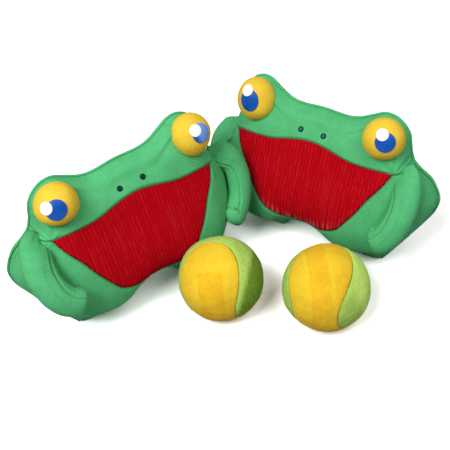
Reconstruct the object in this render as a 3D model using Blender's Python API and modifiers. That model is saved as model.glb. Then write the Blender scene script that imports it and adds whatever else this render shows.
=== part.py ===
"""Hook and loop catch set: two stuffed frog mitts and two soft balls.

Each mitt is a cushion sewn from a brow panel, a ribbed loop-pile mouth, a belly panel with two
feet and a back panel with two thigh lobes. It carries two stuffed arms, two padded eyes and a
hand strap across the back. Each ball is a soft core in two interlocking cover lobes.
Metres, +Z up. A mitt is drawn upright with its front along -Y and its feet on Z = 0.
"""

from math import atan2, cos, hypot, pi, radians, sin, sqrt

import bmesh
import bpy
import numpy as np
from mathutils import Matrix, Vector

# Clearances and fabric
CLEARANCE = 0.0003
FABRIC = 0.0025
BROW_LAYER = 0.0015

# Mitt outline seen from the front: its heights follow the height of the eye humps
HUMP_TOP = 0.1425
HEART_Z = 0.505 * HUMP_TOP
CROWN_DIP = 0.0142
CROWN_Z = HUMP_TOP - CROWN_DIP
HUMP_X = 0.057
HUMP_RADIUS = 0.021
NECK_DROP = 0.0295
NECK_HALF = 0.077
NECK_Z = HUMP_TOP - NECK_DROP
THIGH_HALF = 0.1040
THIGH_Z = 0.470 * HUMP_TOP
NECK_RUN = NECK_Z - THIGH_Z
FOOT_OUTER = 0.069
FOOT_INNER = 0.031
ARCH_Z = 0.024
SOLE_CUT = 0.004
HEAD_SLUMP_Z = 0.702 * HUMP_TOP

# Mitt thickness
SEAM_Y = 0.002
LEAN = 0.085
THIGH_SWEEP = 0.010
BROW_DEPTH = 0.0155
BELLY_BULGE = 0.0215
BELLY_Z = 0.046
BELLY_SPREAD = 0.057
BACK_DEPTH = 0.0135
BACK_ROUND = 2.8
HEAD_THINNING = 0.35
CHEEK_FULLNESS = 14.0
CHEEK_SPREAD = 0.014

# Mouth
MOUTH_HALF = 0.073
CORNER_DROP = 0.0125
CORNER_Z = NECK_Z - CORNER_DROP
LIP_RISE = 0.009
JAW_HALF = 0.043
JAW_Z = 0.372 * HUMP_TOP
FLOOR_RISE = 0.0110
MOUTH_FLOOR_Z = ARCH_Z + FLOOR_RISE

# Eyes and nostrils
EYE_RADIUS = 0.0170
EYE_X = 0.0595
EYE_Y = -0.0020
EYE_DROP = 0.0150
EYE_Z = HUMP_TOP - EYE_DROP
IRIS_RADIUS = 0.0078
GLINT_RADIUS = 0.0047
PATCH = 0.0008
NOSTRIL_X = 0.0105
NOSTRIL_RISE = 0.0155
NOSTRIL_Z = CORNER_Z + NOSTRIL_RISE
NOSTRIL_RADIUS = 0.0023
NOSTRIL_HEIGHT = 0.0010

# Arms
ARM_RADIUS = 0.0100
SHOULDER_INSET = 0.0190
SHOULDER_X = THIGH_HALF - SHOULDER_INSET
SHOULDER_Z = CORNER_Z - 0.45 * ARM_RADIUS
ELBOW_INSET = 0.0150
ELBOW_OUT = THIGH_HALF - ELBOW_INSET
ELBOW_Z = THIGH_Z + 0.7 * ARM_RADIUS
HAND_INSET = 0.0420
HAND_X = THIGH_HALF - HAND_INSET
HAND_Z = JAW_Z - 0.3 * ARM_RADIUS
ARM_STANDOFF = 0.0080
ARM_STEPS = 2

# Hand strap on the back
STRAP_SPAN = 0.104
STRAP_TAB = 0.014
STRAP_WIDTH = 0.045
STRAP_THICK = 0.0030
STRAP_RISE = 0.026
STRAP_Z = 0.477 * HUMP_TOP

# Balls
BALL_RADIUS = 0.0350
COVER = 0.0028
BALL_SPOT = 0.0004
SEAM_WAIST = 0.25

# Where each thing stands: X, Y and the turn about Z in degrees
LEFT_MITT = (-0.0727, -0.0724, 34.6)
RIGHT_MITT = (0.0819, -0.0254, -38.0)
BALL_ONE = (-0.0072, -0.1077)
BALL_TWO = (0.0749, -0.1282)

# Where the middle and the rounded tip of one cover lobe point: yellow on ball one, lime on two
BALL_ONE_LOBE = ((-0.35, -0.69, 0.64), (-0.05, 0.21, 0.98))
BALL_TWO_LOBE = ((0.895, -0.433, 0.108), (0.17, -0.96, -0.21))

# Gaze of the left and right eye: azimuth from the mitt's front and height in degrees, of the
# iris and then of its glint. Slump of each head to its left, as rise over run
LEFT_MITT_GAZE = ((-22.0, 22.0, -49.0, 30.0), (1.0, 25.0, -18.0, 39.0))
RIGHT_MITT_GAZE = ((8.0, 23.0, -5.0, 46.0), (27.0, 24.0, 15.0, 44.0))
LEFT_MITT_SLUMP = 0.055
RIGHT_MITT_SLUMP = -0.022

COLOURS = {
    "green_knit": ((0.082, 0.440, 0.180), 0.90),
    "red_loop": ((0.440, 0.006, 0.010), 0.95),
    "eye_yellow": ((0.870, 0.590, 0.045), 0.75),
    "iris_blue": ((0.002, 0.085, 0.420), 0.45),
    "glint_white": ((0.930, 0.940, 0.920), 0.45),
    "nostril_dark": ((0.002, 0.035, 0.030), 0.70),
    "stuffing_white": ((0.800, 0.800, 0.780), 0.95),
    "strap_green": ((0.040, 0.260, 0.100), 0.85),
    "ball_yellow": ((0.930, 0.580, 0.020), 0.95),
    "ball_lime": ((0.380, 0.640, 0.075), 0.95),
}


def clear_scene():
    """Remove whatever the file holds."""
    for item in list(bpy.data.objects):
        bpy.data.objects.remove(item, do_unlink=True)
    for group in list(bpy.data.collections):
        bpy.data.collections.remove(group)


clear_scene()
PARTS = bpy.data.collections.new("hook_and_loop_catch_set")
CUTTERS = bpy.data.collections.new("cutters")
bpy.context.scene.collection.children.link(PARTS)
bpy.context.scene.collection.children.link(CUTTERS)


SET_FRAME = bpy.data.objects.new("set_frame", None)
PARTS.objects.link(SET_FRAME)


def material(name):
    """Return the named material, made once."""
    found = bpy.data.materials.get(name)
    if found:
        return found
    colour, roughness = COLOURS[name]
    made = bpy.data.materials.new(name)
    made.use_nodes = True
    shader = made.node_tree.nodes["Principled BSDF"]
    shader.inputs["Base Color"].default_value = (*colour, 1.0)
    shader.inputs["Roughness"].default_value = roughness
    shader.inputs["Metallic"].default_value = 0.0
    made.diffuse_color = (*colour, 1.0)
    return made


def cutter(name, mesh, matrix=None):
    """Put a mesh among the cutters, drawn as a wire."""
    item = bpy.data.objects.new(name, mesh)
    item.display_type = "WIRE"
    item.hide_render = True
    if matrix is not None:
        item.matrix_world = matrix
    CUTTERS.objects.link(item)
    return item


def baked(item):
    """Return a mesh of the object as its modifiers leave it, in the object's own frame."""
    bpy.context.view_layer.update()
    graph = bpy.context.evaluated_depsgraph_get()
    return bpy.data.meshes.new_from_object(item.evaluated_get(graph), depsgraph=graph)


def boolean(mesh, steps, name):
    """Cut a mesh by a list of (operation, cutter object) pairs and return the result."""
    item = cutter(name + "_blank", mesh)
    for number, (operation, tool) in enumerate(steps):
        step = item.modifiers.new("cut_%d" % number, "BOOLEAN")
        step.operation = operation
        step.solver = "EXACT"
        step.object = tool
    made = baked(item)
    bpy.data.objects.remove(item, do_unlink=True)
    return tidied(made)


def tidied(mesh):
    """Dissolve needle edges and triangulate, so that every face is flat."""
    work = bmesh.new()
    work.from_mesh(mesh)
    bmesh.ops.dissolve_degenerate(work, edges=work.edges, dist=0.00002)
    bmesh.ops.triangulate(work, faces=work.faces)
    bmesh.ops.recalc_face_normals(work, faces=work.faces)
    work.to_mesh(mesh)
    work.free()
    return mesh


def part(name, mesh, colour, parent=None):
    """Make a named piece with its material, smooth over its soft turns."""
    item = bpy.data.objects.new(name, mesh)
    mesh.materials.clear()
    mesh.materials.append(material(colour))
    mesh.shade_smooth()
    mesh.set_sharp_from_angle(angle=radians(50))
    PARTS.objects.link(item)
    item.parent = parent or SET_FRAME
    return item


def ease(value):
    """Smooth step from 0 to 1."""
    t = min(max(value, 0.0), 1.0)
    return t * t * (3.0 - 2.0 * t)


def half_outline():
    """Right half of the mitt's outline, from the crown down to the arch between the feet."""
    return [
        (0.0, CROWN_Z),
        (0.35 * HUMP_X, CROWN_Z - 0.001),
        (0.56 * HUMP_X, CROWN_Z + 0.001),
        (HUMP_X - 0.75 * HUMP_RADIUS, HUMP_TOP - 0.26 * HUMP_RADIUS),
        (HUMP_X - 0.25 * HUMP_RADIUS, HUMP_TOP - 0.02 * HUMP_RADIUS),
        (HUMP_X + 0.20 * HUMP_RADIUS, HUMP_TOP - 0.02 * HUMP_RADIUS),
        (HUMP_X + 0.60 * HUMP_RADIUS, HUMP_TOP - 0.24 * HUMP_RADIUS),
        (HUMP_X + 0.90 * HUMP_RADIUS, HUMP_TOP - 0.66 * HUMP_RADIUS),
        (HUMP_X + HUMP_RADIUS, HUMP_TOP - 1.15 * HUMP_RADIUS),
        (NECK_HALF, NECK_Z),
        (NECK_HALF + 0.003, NECK_Z - 0.22 * NECK_RUN),
        (NECK_HALF + 0.009, NECK_Z - 0.39 * NECK_RUN),
        (THIGH_HALF - 0.008, THIGH_Z + 0.41 * NECK_RUN),
        (THIGH_HALF - 0.0015, THIGH_Z + 0.17 * NECK_RUN),
        (THIGH_HALF, THIGH_Z),
        (THIGH_HALF - 0.0025, 0.85 * THIGH_Z),
        (THIGH_HALF - 0.009, 0.67 * THIGH_Z),
        (THIGH_HALF - 0.018, 0.45 * THIGH_Z),
        (FOOT_OUTER + 0.008, 0.24 * THIGH_Z),
        (FOOT_OUTER, 0.06 * THIGH_Z),
        (FOOT_OUTER - 0.008, -SOLE_CUT),
        (FOOT_INNER + 0.006, -SOLE_CUT),
        (FOOT_INNER, 0.03 * THIGH_Z),
        (0.66 * FOOT_INNER, 0.70 * ARCH_Z),
        (0.33 * FOOT_INNER, 0.97 * ARCH_Z),
        (0.0, ARCH_Z),
    ]


def mirrored(half):
    """Close a half outline that starts and ends on the middle line."""
    return half + [(-x, z) for x, z in reversed(half[1:-1])]


def inset(points, distance):
    """Move a clockwise closed outline inwards by a distance, or outwards if negative."""
    ring = np.array(points)
    along = np.roll(ring, -1, axis=0) - np.roll(ring, 1, axis=0)
    along /= np.linalg.norm(along, axis=1)[:, None]
    inward = np.stack([-along[:, 1], along[:, 0]], axis=1) * -1.0
    return [tuple(p) for p in ring + inward * distance]


def seam_y(x, z):
    """Height field of the seam sheet between the front and back panels."""
    return SEAM_Y + LEAN * z + THIGH_SWEEP * ease((abs(x) - 0.6 * THIGH_HALF) / (0.4 * THIGH_HALF))


def front_depth(z):
    """Thickness of the stuffing in front of the seam sheet."""
    bulge = BELLY_BULGE * np.exp(-(((z - BELLY_Z) / BELLY_SPREAD) ** 2))
    return (BROW_DEPTH + bulge) * (0.22 + 0.78 * ease((z + 0.002) / 0.030))


def rim_power(z):
    """How squarely the front turns into the edge: roundest at the belly, boxiest at the cheeks."""
    cheek = CHEEK_FULLNESS * np.exp(-(((z - CORNER_Z) / CHEEK_SPREAD) ** 2))
    low = ease((0.42 - z / HUMP_TOP) / 0.175)
    high = ease((z / HUMP_TOP - 0.526) / 0.245)
    return 4.5 + 3.5 * low + 4.5 * high + cheek


def back_swell(scale, z):
    """Thickness of the stuffing behind the seam sheet, thinner in the head."""
    thin = 1.0 - HEAD_THINNING * ease((z - CORNER_Z) / (EYE_Z - CORNER_Z))
    return thin * sqrt(max(0.0, 1.0 - scale ** BACK_ROUND))


FRONT_RINGS = (0.970, 0.92, 0.83, 0.68, 0.46, 0.22)
BACK_RINGS = (0.95, 0.82, 0.50)
INNER_FRONT_RINGS = (0.96, 0.86, 0.65, 0.30)
INNER_BACK_RINGS = (0.92, 0.60)


def cushion(margin, layer=0.0, fronts=FRONT_RINGS, backs=BACK_RINGS, skip=1):
    """Loft the stuffed body through scaled rings, shrunk all round by a margin.

    A layer thickens the front alone, and a skip of 2 keeps every second outline point.
    """
    outline = inset(mirrored(half_outline()), margin)[::skip]
    work = bmesh.new()

    def ring(scale, side):
        made = []
        for x0, z0 in outline:
            x = x0 * scale
            z = HEART_Z + (z0 - HEART_Z) * scale
            if side < 0:
                swell = sqrt(max(0.0, 1.0 - scale ** rim_power(z)))
                y = seam_y(x, z) - (front_depth(z) - margin + layer) * swell
            else:
                y = seam_y(x, z) + (BACK_DEPTH - margin) * back_swell(scale, z)
            made.append(work.verts.new((x, y, z)))
        return made

    rings = [ring(s, -1) for s in reversed(fronts)]
    rings.append(ring(1.0, -1))
    rings += [ring(s, 1) for s in backs]
    count = len(outline)
    for inner, outer in zip(rings, rings[1:]):
        for k in range(count):
            n = (k + 1) % count
            work.faces.new((inner[k], inner[n], outer[n], outer[k]))
    y_front = seam_y(0.0, HEART_Z) - (front_depth(HEART_Z) - margin + layer)
    y_back = seam_y(0.0, HEART_Z) + BACK_DEPTH - margin
    for loop, y in ((rings[0], y_front), (rings[-1], y_back)):
        middle = work.verts.new((0.0, y, HEART_Z))
        for k in range(count):
            work.faces.new((loop[k], loop[(k + 1) % count], middle))
    bmesh.ops.triangulate(work, faces=work.faces)
    bmesh.ops.recalc_face_normals(work, faces=work.faces)
    mesh = bpy.data.meshes.new("cushion")
    work.to_mesh(mesh)
    work.free()
    return mesh


def prism(name, outline, low, high):
    """Solid of a flat outline in X and Z, between two Y values."""
    curve = bpy.data.curves.new(name, "CURVE")
    curve.dimensions = "2D"
    curve.fill_mode = "BOTH"
    curve.extrude = 0.5 * (high - low)
    spline = curve.splines.new("POLY")
    spline.points.add(len(outline) - 1)
    for point, (x, z) in zip(spline.points, outline):
        point.co = (x, z, 0.0, 1.0)
    spline.use_cyclic_u = True
    item = bpy.data.objects.new(name, curve)
    CUTTERS.objects.link(item)
    mesh = baked(item)
    bpy.data.objects.remove(item, do_unlink=True)
    work = bmesh.new()
    work.from_mesh(mesh)
    bmesh.ops.remove_doubles(work, verts=work.verts, dist=0.00001)
    turn = Matrix.Translation((0.0, 0.5 * (low + high), 0.0)) @ Matrix.Rotation(pi / 2, 4, "X")
    bmesh.ops.transform(work, matrix=turn, verts=work.verts)
    bmesh.ops.recalc_face_normals(work, faces=work.faces)
    work.to_mesh(mesh)
    work.free()
    return cutter(name, mesh)


def seam_block(name, shift, far):
    """Solid between the seam sheet, moved by a shift in Y, and a far plane."""
    work = bmesh.new()
    reach = 1.25 * THIGH_HALF
    grid = bmesh.ops.create_grid(work, x_segments=25, y_segments=10, size=reach)
    for vert in grid["verts"]:
        x, z = vert.co.x, HEART_Z + vert.co.y
        vert.co = (x, seam_y(x, z) + shift, z)
    sheet = list(work.faces)
    grown = bmesh.ops.extrude_face_region(work, geom=sheet)
    for vert in (g for g in grown["geom"] if isinstance(g, bmesh.types.BMVert)):
        vert.co.y = far
    bmesh.ops.recalc_face_normals(work, faces=work.faces)
    mesh = bpy.data.meshes.new(name)
    work.to_mesh(mesh)
    work.free()
    return cutter(name, mesh)


def lip_line():
    """Upper lip from the left corner to the right one, raised in the middle."""
    shape = ((1.0, 0.0), (0.89, 0.20), (0.77, 0.25), (0.64, 0.26), (0.53, 0.30), (0.43, 0.42),
             (0.34, 0.58), (0.25, 0.74), (0.17, 0.87), (0.08, 0.97))
    right = [(MOUTH_HALF * u, CORNER_Z + LIP_RISE * v) for u, v in shape]
    return [(-x, z) for x, z in right] + [(0.0, CORNER_Z + LIP_RISE)] + right[::-1]


def mouth_outline(raise_lip=0.0):
    """Closed outline of the loop panel, clockwise from the left corner, its lip moved up."""
    jaw = [
        (0.93 * MOUTH_HALF, JAW_Z + 0.80 * (CORNER_Z - JAW_Z)),
        (0.80 * MOUTH_HALF, JAW_Z + 0.52 * (CORNER_Z - JAW_Z)),
        (0.70 * MOUTH_HALF, JAW_Z + 0.25 * (CORNER_Z - JAW_Z)),
        (JAW_HALF, JAW_Z),
        (0.84 * JAW_HALF, JAW_Z - 0.50 * (JAW_Z - MOUTH_FLOOR_Z)),
        (0.62 * JAW_HALF, JAW_Z - 0.78 * (JAW_Z - MOUTH_FLOOR_Z)),
        (0.34 * JAW_HALF, JAW_Z - 0.95 * (JAW_Z - MOUTH_FLOOR_Z)),
    ]
    line = lip_line()
    lip = [line[0]] + [(x, z + raise_lip) for x, z in line[1:-1]] + [line[-1]]
    return lip + jaw + [(0.0, MOUTH_FLOOR_Z)] + [(-x, z) for x, z in reversed(jaw)]


def brow_outline(drop):
    """Region above the lip and the shoulder seams, its lower edge moved down by a drop."""
    reach = 1.25 * THIGH_HALF
    edge = [(-reach, CORNER_Z)] + lip_line() + [(reach, CORNER_Z)]
    top = HUMP_TOP + reach
    return [(-reach, top)] + [(x, z - drop) for x, z in edge] + [(reach, top)]


def mitt_meshes():
    """Make every piece of a mitt but its irises and glints, in the mitt's own frame."""
    reach = 1.25 * THIGH_HALF
    half_gap = 0.5 * CLEARANCE
    front = seam_block("front_block", -half_gap, -reach)
    back = seam_block("back_block", half_gap, reach)
    hollow = cutter("hollow", cushion(FABRIC, 0.0, INNER_FRONT_RINGS, INNER_BACK_RINGS))
    brow = prism("brow_region", brow_outline(-CLEARANCE), -reach, reach)
    brow_clear = prism("brow_clear", brow_outline(0.0), -reach, reach)
    mouth = prism("mouth_region", inset(mouth_outline(), CLEARANCE), -reach, reach)
    mouth_clear = prism("mouth_clear", mouth_outline(0.2 * LIP_RISE), -reach, reach)
    floor = cutter("floor_cut", box_mesh((0.0, 0.0, -0.5 * reach), (4 * reach, 4 * reach, reach)))
    plain = cushion(0.0)
    made = {}
    made["head_panel"] = boolean(
        cushion(0.0, BROW_LAYER),
        [("INTERSECT", brow), ("INTERSECT", front), ("DIFFERENCE", hollow)], "head_panel")
    made["mouth_pad"] = boolean(
        plain.copy(), [("INTERSECT", mouth), ("INTERSECT", front), ("DIFFERENCE", hollow)], "mouth")
    made["belly_panel"] = boolean(
        plain.copy(),
        [("DIFFERENCE", brow_clear), ("INTERSECT", front), ("DIFFERENCE", mouth_clear),
         ("DIFFERENCE", hollow), ("DIFFERENCE", floor)], "belly")
    made["back_panel"] = boolean(
        plain.copy(), [("INTERSECT", back), ("DIFFERENCE", hollow), ("DIFFERENCE", floor)], "back")
    padding = cushion(FABRIC + 2 * CLEARANCE, 0.0, INNER_FRONT_RINGS, INNER_BACK_RINGS)
    made["padding"] = boolean(padding, [("DIFFERENCE", sole_block())], "padding")

    clear = cutter("body_clear", cushion(-CLEARANCE))
    brow_body = cutter("brow_body", boolean(
        cushion(-CLEARANCE, BROW_LAYER),
        [("INTERSECT", prism("brow_near", brow_outline(CLEARANCE), -reach, reach))], "brow_body"))
    for name, side in (("left", -1), ("right", 1)):
        made[name + "_arm"] = boolean(
            arm_mesh(side, bent_route()), [("DIFFERENCE", clear), ("DIFFERENCE", brow_body)],
            name + "_arm")
        made[name + "_eye"] = boolean(
            globe_mesh(EYE_RADIUS, eye_centre(side), 18), [("DIFFERENCE", brow_body)], name + "_eye")
        made[name + "_nostril"] = boolean(
            nostril_mesh(side), [("DIFFERENCE", brow_body)], name + "_nostril")
    made["hanging_left_arm"] = boolean(
        arm_mesh(-1, hanging_route()), [("DIFFERENCE", clear), ("DIFFERENCE", brow_body)],
        "hanging_arm")
    made["hand_strap"] = boolean(strap_mesh(), [("DIFFERENCE", clear)], "hand_strap")
    return made


def box_mesh(centre, size):
    """Box of a size about a centre."""
    work = bmesh.new()
    bmesh.ops.create_cube(work, size=1.0)
    bmesh.ops.transform(
        work, matrix=Matrix.Translation(centre) @ Matrix.Diagonal((*size, 1.0)), verts=work.verts)
    mesh = bpy.data.meshes.new("box")
    work.to_mesh(mesh)
    work.free()
    return mesh


def sole_block():
    """Block that levels the padding one fabric thickness above the floor."""
    reach = 1.25 * THIGH_HALF
    top = 0.0 if SOLE_CUT <= 0.0 else CLEARANCE
    return cutter("sole_block", box_mesh((0.0, 0.0, top - 0.5 * reach), (4 * reach, 4 * reach, reach)))


def globe_mesh(radius, centre, segments):
    """Ball with its poles up and down."""
    work = bmesh.new()
    bmesh.ops.create_uvsphere(work, u_segments=segments, v_segments=segments // 2, radius=radius)
    bmesh.ops.translate(work, vec=centre, verts=work.verts)
    mesh = bpy.data.meshes.new("globe")
    work.to_mesh(mesh)
    work.free()
    return mesh


def eye_centre(side):
    """Centre of the eye dome on one side, -1 left and 1 right."""
    return Vector((side * EYE_X, EYE_Y, EYE_Z))


def front_y(x, z):
    """Front surface of the belly and mouth at a point, found on the ring through it."""
    outline = mirrored(half_outline())
    angles = np.array([atan2(px, pz - HEART_Z) for px, pz in outline])
    radii = np.array([hypot(px, pz - HEART_Z) for px, pz in outline])
    order = np.argsort(angles)
    reach = np.interp(atan2(x, z - HEART_Z), angles[order], radii[order], period=2 * pi)
    scale = min(hypot(x, z - HEART_Z) / reach, 1.0)
    return seam_y(x, z) - front_depth(z) * sqrt(max(0.0, 1.0 - scale ** rim_power(z)))


def bent_route():
    """Arm bent inwards, its hand on the belly."""
    over = ARM_RADIUS * 0.72
    return [
        (SHOULDER_X - 0.001, -0.002, SHOULDER_Z + 0.002),
        (SHOULDER_X + 0.001, -0.006, SHOULDER_Z - 0.006),
        (ELBOW_OUT, -0.010 - ARM_STANDOFF, ELBOW_Z + 0.006),
        (ELBOW_OUT - 0.003, -0.016 - ARM_STANDOFF, ELBOW_Z - 0.007),
        (0.55 * ELBOW_OUT + 0.45 * HAND_X, -0.025 - ARM_STANDOFF, HAND_Z + 0.007),
        (HAND_X + 0.006, front_y(HAND_X, HAND_Z) - over, HAND_Z + 0.001),
        (HAND_X - 0.006, front_y(HAND_X, HAND_Z) - over, HAND_Z - 0.002),
    ]


def hanging_route():
    """Arm that hangs down the side, clear of the other mitt's thigh."""
    drop = SHOULDER_Z - ELBOW_Z
    return [
        (SHOULDER_X - 0.001, -0.002, SHOULDER_Z + 0.002),
        (SHOULDER_X + 0.002, -0.004, SHOULDER_Z - 0.3 * drop),
        (ELBOW_OUT + 0.004, -0.006, ELBOW_Z + 0.3 * drop),
        (ELBOW_OUT + 0.008, -0.008, ELBOW_Z - 0.2 * drop),
        (ELBOW_OUT + 0.007, -0.009, ELBOW_Z - 0.7 * drop),
        (ELBOW_OUT + 0.003, -0.009, ELBOW_Z - 1.1 * drop),
        (ELBOW_OUT - 0.002, -0.009, ELBOW_Z - 1.4 * drop),
    ]


def arm_mesh(side, route):
    """Stuffed arm: a tube from under the shoulder seam."""
    points = smooth_route([Vector((side * x, y, z)) for x, y, z in route], ARM_STEPS)
    curve = bpy.data.curves.new("arm", "CURVE")
    curve.dimensions = "3D"
    curve.bevel_depth = ARM_RADIUS
    curve.bevel_resolution = 3
    curve.use_fill_caps = True
    spline = curve.splines.new("POLY")
    spline.points.add(len(points) - 1)
    last = len(points) - 1
    for k, (point, place) in enumerate(zip(spline.points, points)):
        point.co = (*place, 1.0)
        from_end = (last - k) / ARM_STEPS
        from_start = k / ARM_STEPS
        point.radius = min(1.0, 0.42 + 0.58 * sqrt(min(1.0, from_end))) * (
            0.80 + 0.20 * ease(from_start))
    item = bpy.data.objects.new("arm_curve", curve)
    CUTTERS.objects.link(item)
    mesh = baked(item)
    bpy.data.objects.remove(item, do_unlink=True)
    work = bmesh.new()
    work.from_mesh(mesh)
    bmesh.ops.remove_doubles(work, verts=work.verts, dist=0.00001)
    bmesh.ops.triangulate(work, faces=work.faces)
    bmesh.ops.recalc_face_normals(work, faces=work.faces)
    work.to_mesh(mesh)
    work.free()
    return mesh


def smooth_route(points, steps):
    """Catmull-Rom points through a route."""
    padded = [2 * points[0] - points[1]] + points + [2 * points[-1] - points[-2]]
    made = []
    for k in range(1, len(padded) - 2):
        a, b, c, d = padded[k - 1:k + 3]
        for n in range(steps):
            t = n / steps
            made.append(0.5 * ((2 * b) + (c - a) * t + (2 * a - 5 * b + 4 * c - d) * t ** 2
                               + (3 * b - a - 3 * c + d) * t ** 3))
    made.append(points[-1])
    return made


def nostril_mesh(side):
    """Short post that the brow trims to a raised dot."""
    length = 0.010
    y = front_y(NOSTRIL_X, NOSTRIL_Z) - BROW_LAYER - NOSTRIL_HEIGHT
    matrix = Matrix.Translation((side * NOSTRIL_X, y + 0.5 * length, NOSTRIL_Z))
    work = bmesh.new()
    bmesh.ops.create_cone(
        work, cap_ends=True, segments=14, radius1=NOSTRIL_RADIUS, radius2=NOSTRIL_RADIUS,
        depth=length, matrix=matrix @ Matrix.Rotation(pi / 2, 4, "X"))
    mesh = bpy.data.meshes.new("nostril")
    work.to_mesh(mesh)
    work.free()
    return mesh


def strap_mesh():
    """Band across the back: two flat tabs and an arch for the hand."""
    half = 0.5 * STRAP_SPAN
    arch = []
    for k in range(15):
        t = -1.0 + k / 7.0
        arch.append((t * (half - STRAP_TAB), STRAP_RISE * (1.0 - abs(t) ** 2.6)))
    centre_line = [(-half, 0.0)] + arch + [(half, 0.0)]
    work = bmesh.new()
    rows = []
    for edge in (-0.5 * STRAP_WIDTH, 0.5 * STRAP_WIDTH):
        lower, upper = [], []
        for k, (x, y) in enumerate(centre_line):
            before = Vector(centre_line[max(k - 1, 0)])
            after = Vector(centre_line[min(k + 1, len(centre_line) - 1)])
            along = (after - before).normalized()
            across = Vector((-along.y, along.x)) * STRAP_THICK
            lower.append(work.verts.new((x, y, edge)))
            upper.append(work.verts.new((x + across.x, y + across.y, edge)))
        rows.append(lower + upper[::-1])
    first, second = rows
    count = len(first)
    for k in range(count):
        n = (k + 1) % count
        work.faces.new((first[k], first[n], second[n], second[k]))
    work.faces.new(first)
    work.faces.new(second[::-1])
    lean = Matrix.Rotation(-atan2(LEAN, 1.0), 4, "X")
    seat = seam_y(0.0, STRAP_Z) + BACK_DEPTH - 0.0008
    bmesh.ops.transform(
        work, matrix=Matrix.Translation((0.0, seat, STRAP_Z)) @ lean, verts=work.verts)
    bmesh.ops.triangulate(work, faces=work.faces)
    bmesh.ops.recalc_face_normals(work, faces=work.faces)
    mesh = bpy.data.meshes.new("strap")
    work.to_mesh(mesh)
    work.free()
    return mesh


def gaze_vector(azimuth, height):
    """Direction from an eye's centre, azimuth from the front towards +X."""
    a, h = radians(azimuth), radians(height)
    return Vector((sin(a) * cos(h), -cos(a) * cos(h), sin(h)))


def aimed_post(name, start, direction, radius):
    """Post along a direction, used to cut a round patch."""
    work = bmesh.new()
    bmesh.ops.create_cone(
        work, cap_ends=True, segments=20, radius1=radius, radius2=radius, depth=2 * EYE_RADIUS)
    turn = direction.to_track_quat("Z", "Y").to_matrix().to_4x4()
    matrix = Matrix.Translation(start + direction * 1.3 * EYE_RADIUS) @ turn
    bmesh.ops.transform(work, matrix=matrix, verts=work.verts)
    mesh = bpy.data.meshes.new(name)
    work.to_mesh(mesh)
    work.free()
    return cutter(name, mesh)


def turned_cap(centre, direction, radius, steps=22):
    """Thin round patch that follows the dome: a profile turned about the gaze."""
    low = EYE_RADIUS + CLEARANCE
    high = low + PATCH
    edge = np.arcsin(radius / high)
    profile = [(high * sin(a), high * cos(a)) for a in (0.0, 0.5 * edge, edge)]
    profile += [(low * sin(a), low * cos(a)) for a in (edge, 0.5 * edge, 0.0)]
    mesh = bpy.data.meshes.new("cap_profile")
    mesh.from_pydata([(x, 0.0, z) for x, z in profile], [(k, k + 1) for k in range(5)], [])
    item = cutter("cap", mesh)
    screw = item.modifiers.new("turn", "SCREW")
    screw.axis = "Z"
    screw.steps = steps
    screw.render_steps = steps
    screw.use_merge_vertices = True
    screw.merge_threshold = 0.00001
    made = baked(item)
    bpy.data.objects.remove(item, do_unlink=True)
    turn = direction.to_track_quat("Z", "Y").to_matrix().to_4x4()
    made.transform(Matrix.Translation(centre) @ turn)
    return tidied(made)


def eye_patches(side, gaze):
    """Iris and glint of one eye: thin caps on the dome, the glint set into the iris's edge."""
    centre = eye_centre(side)
    iris_way = gaze_vector(*gaze[:2])
    glint_way = gaze_vector(*gaze[2:])
    glint_clear = aimed_post("glint_clear", centre, glint_way, GLINT_RADIUS + CLEARANCE)
    iris_mesh = boolean(
        turned_cap(centre, iris_way, IRIS_RADIUS), [("DIFFERENCE", glint_clear)], "iris")
    return iris_mesh, turned_cap(centre, glint_way, GLINT_RADIUS, 16)


MITT_COLOURS = {
    "head_panel": "green_knit", "belly_panel": "green_knit", "back_panel": "green_knit",
    "left_arm": "green_knit", "right_arm": "green_knit", "mouth_pad": "red_loop",
    "padding": "stuffing_white", "left_eye": "eye_yellow", "right_eye": "eye_yellow",
    "left_nostril": "nostril_dark", "right_nostril": "nostril_dark", "hand_strap": "strap_green",
}


def slumped(mesh, slope):
    """Copy of a piece whose part above the cheeks leans over sideways, as soft heads do."""
    made = mesh.copy()
    spots = np.empty(len(made.vertices) * 3)
    made.vertices.foreach_get("co", spots)
    spots = spots.reshape(-1, 3)
    share = np.array([ease((z - HEAD_SLUMP_Z) / (EYE_Z - HEAD_SLUMP_Z)) for z in spots[:, 2]])
    spots[:, 2] += slope * spots[:, 0] * share
    made.vertices.foreach_set("co", spots.ravel())
    made.update()
    return made


def place_mitt(prefix, meshes, pose, gazes, slump):
    """Stand one mitt at its pose, with its own gaze and slump."""
    stand = bpy.data.objects.new(prefix + "_stand", None)
    PARTS.objects.link(stand)
    stand.parent = SET_FRAME
    stand.location = (pose[0], pose[1], 0.0)
    stand.rotation_euler = (0.0, 0.0, radians(pose[2]))
    for name, mesh in meshes.items():
        part(prefix + "_" + name, slumped(mesh, slump), MITT_COLOURS[name], stand)
    for name, side, gaze in (("left", -1, gazes[0]), ("right", 1, gazes[1])):
        iris_mesh, glint_mesh = eye_patches(side, gaze)
        part("%s_%s_iris" % (prefix, name), slumped(iris_mesh, slump), "iris_blue", stand)
        part("%s_%s_glint" % (prefix, name), slumped(glint_mesh, slump), "glint_white", stand)


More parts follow.
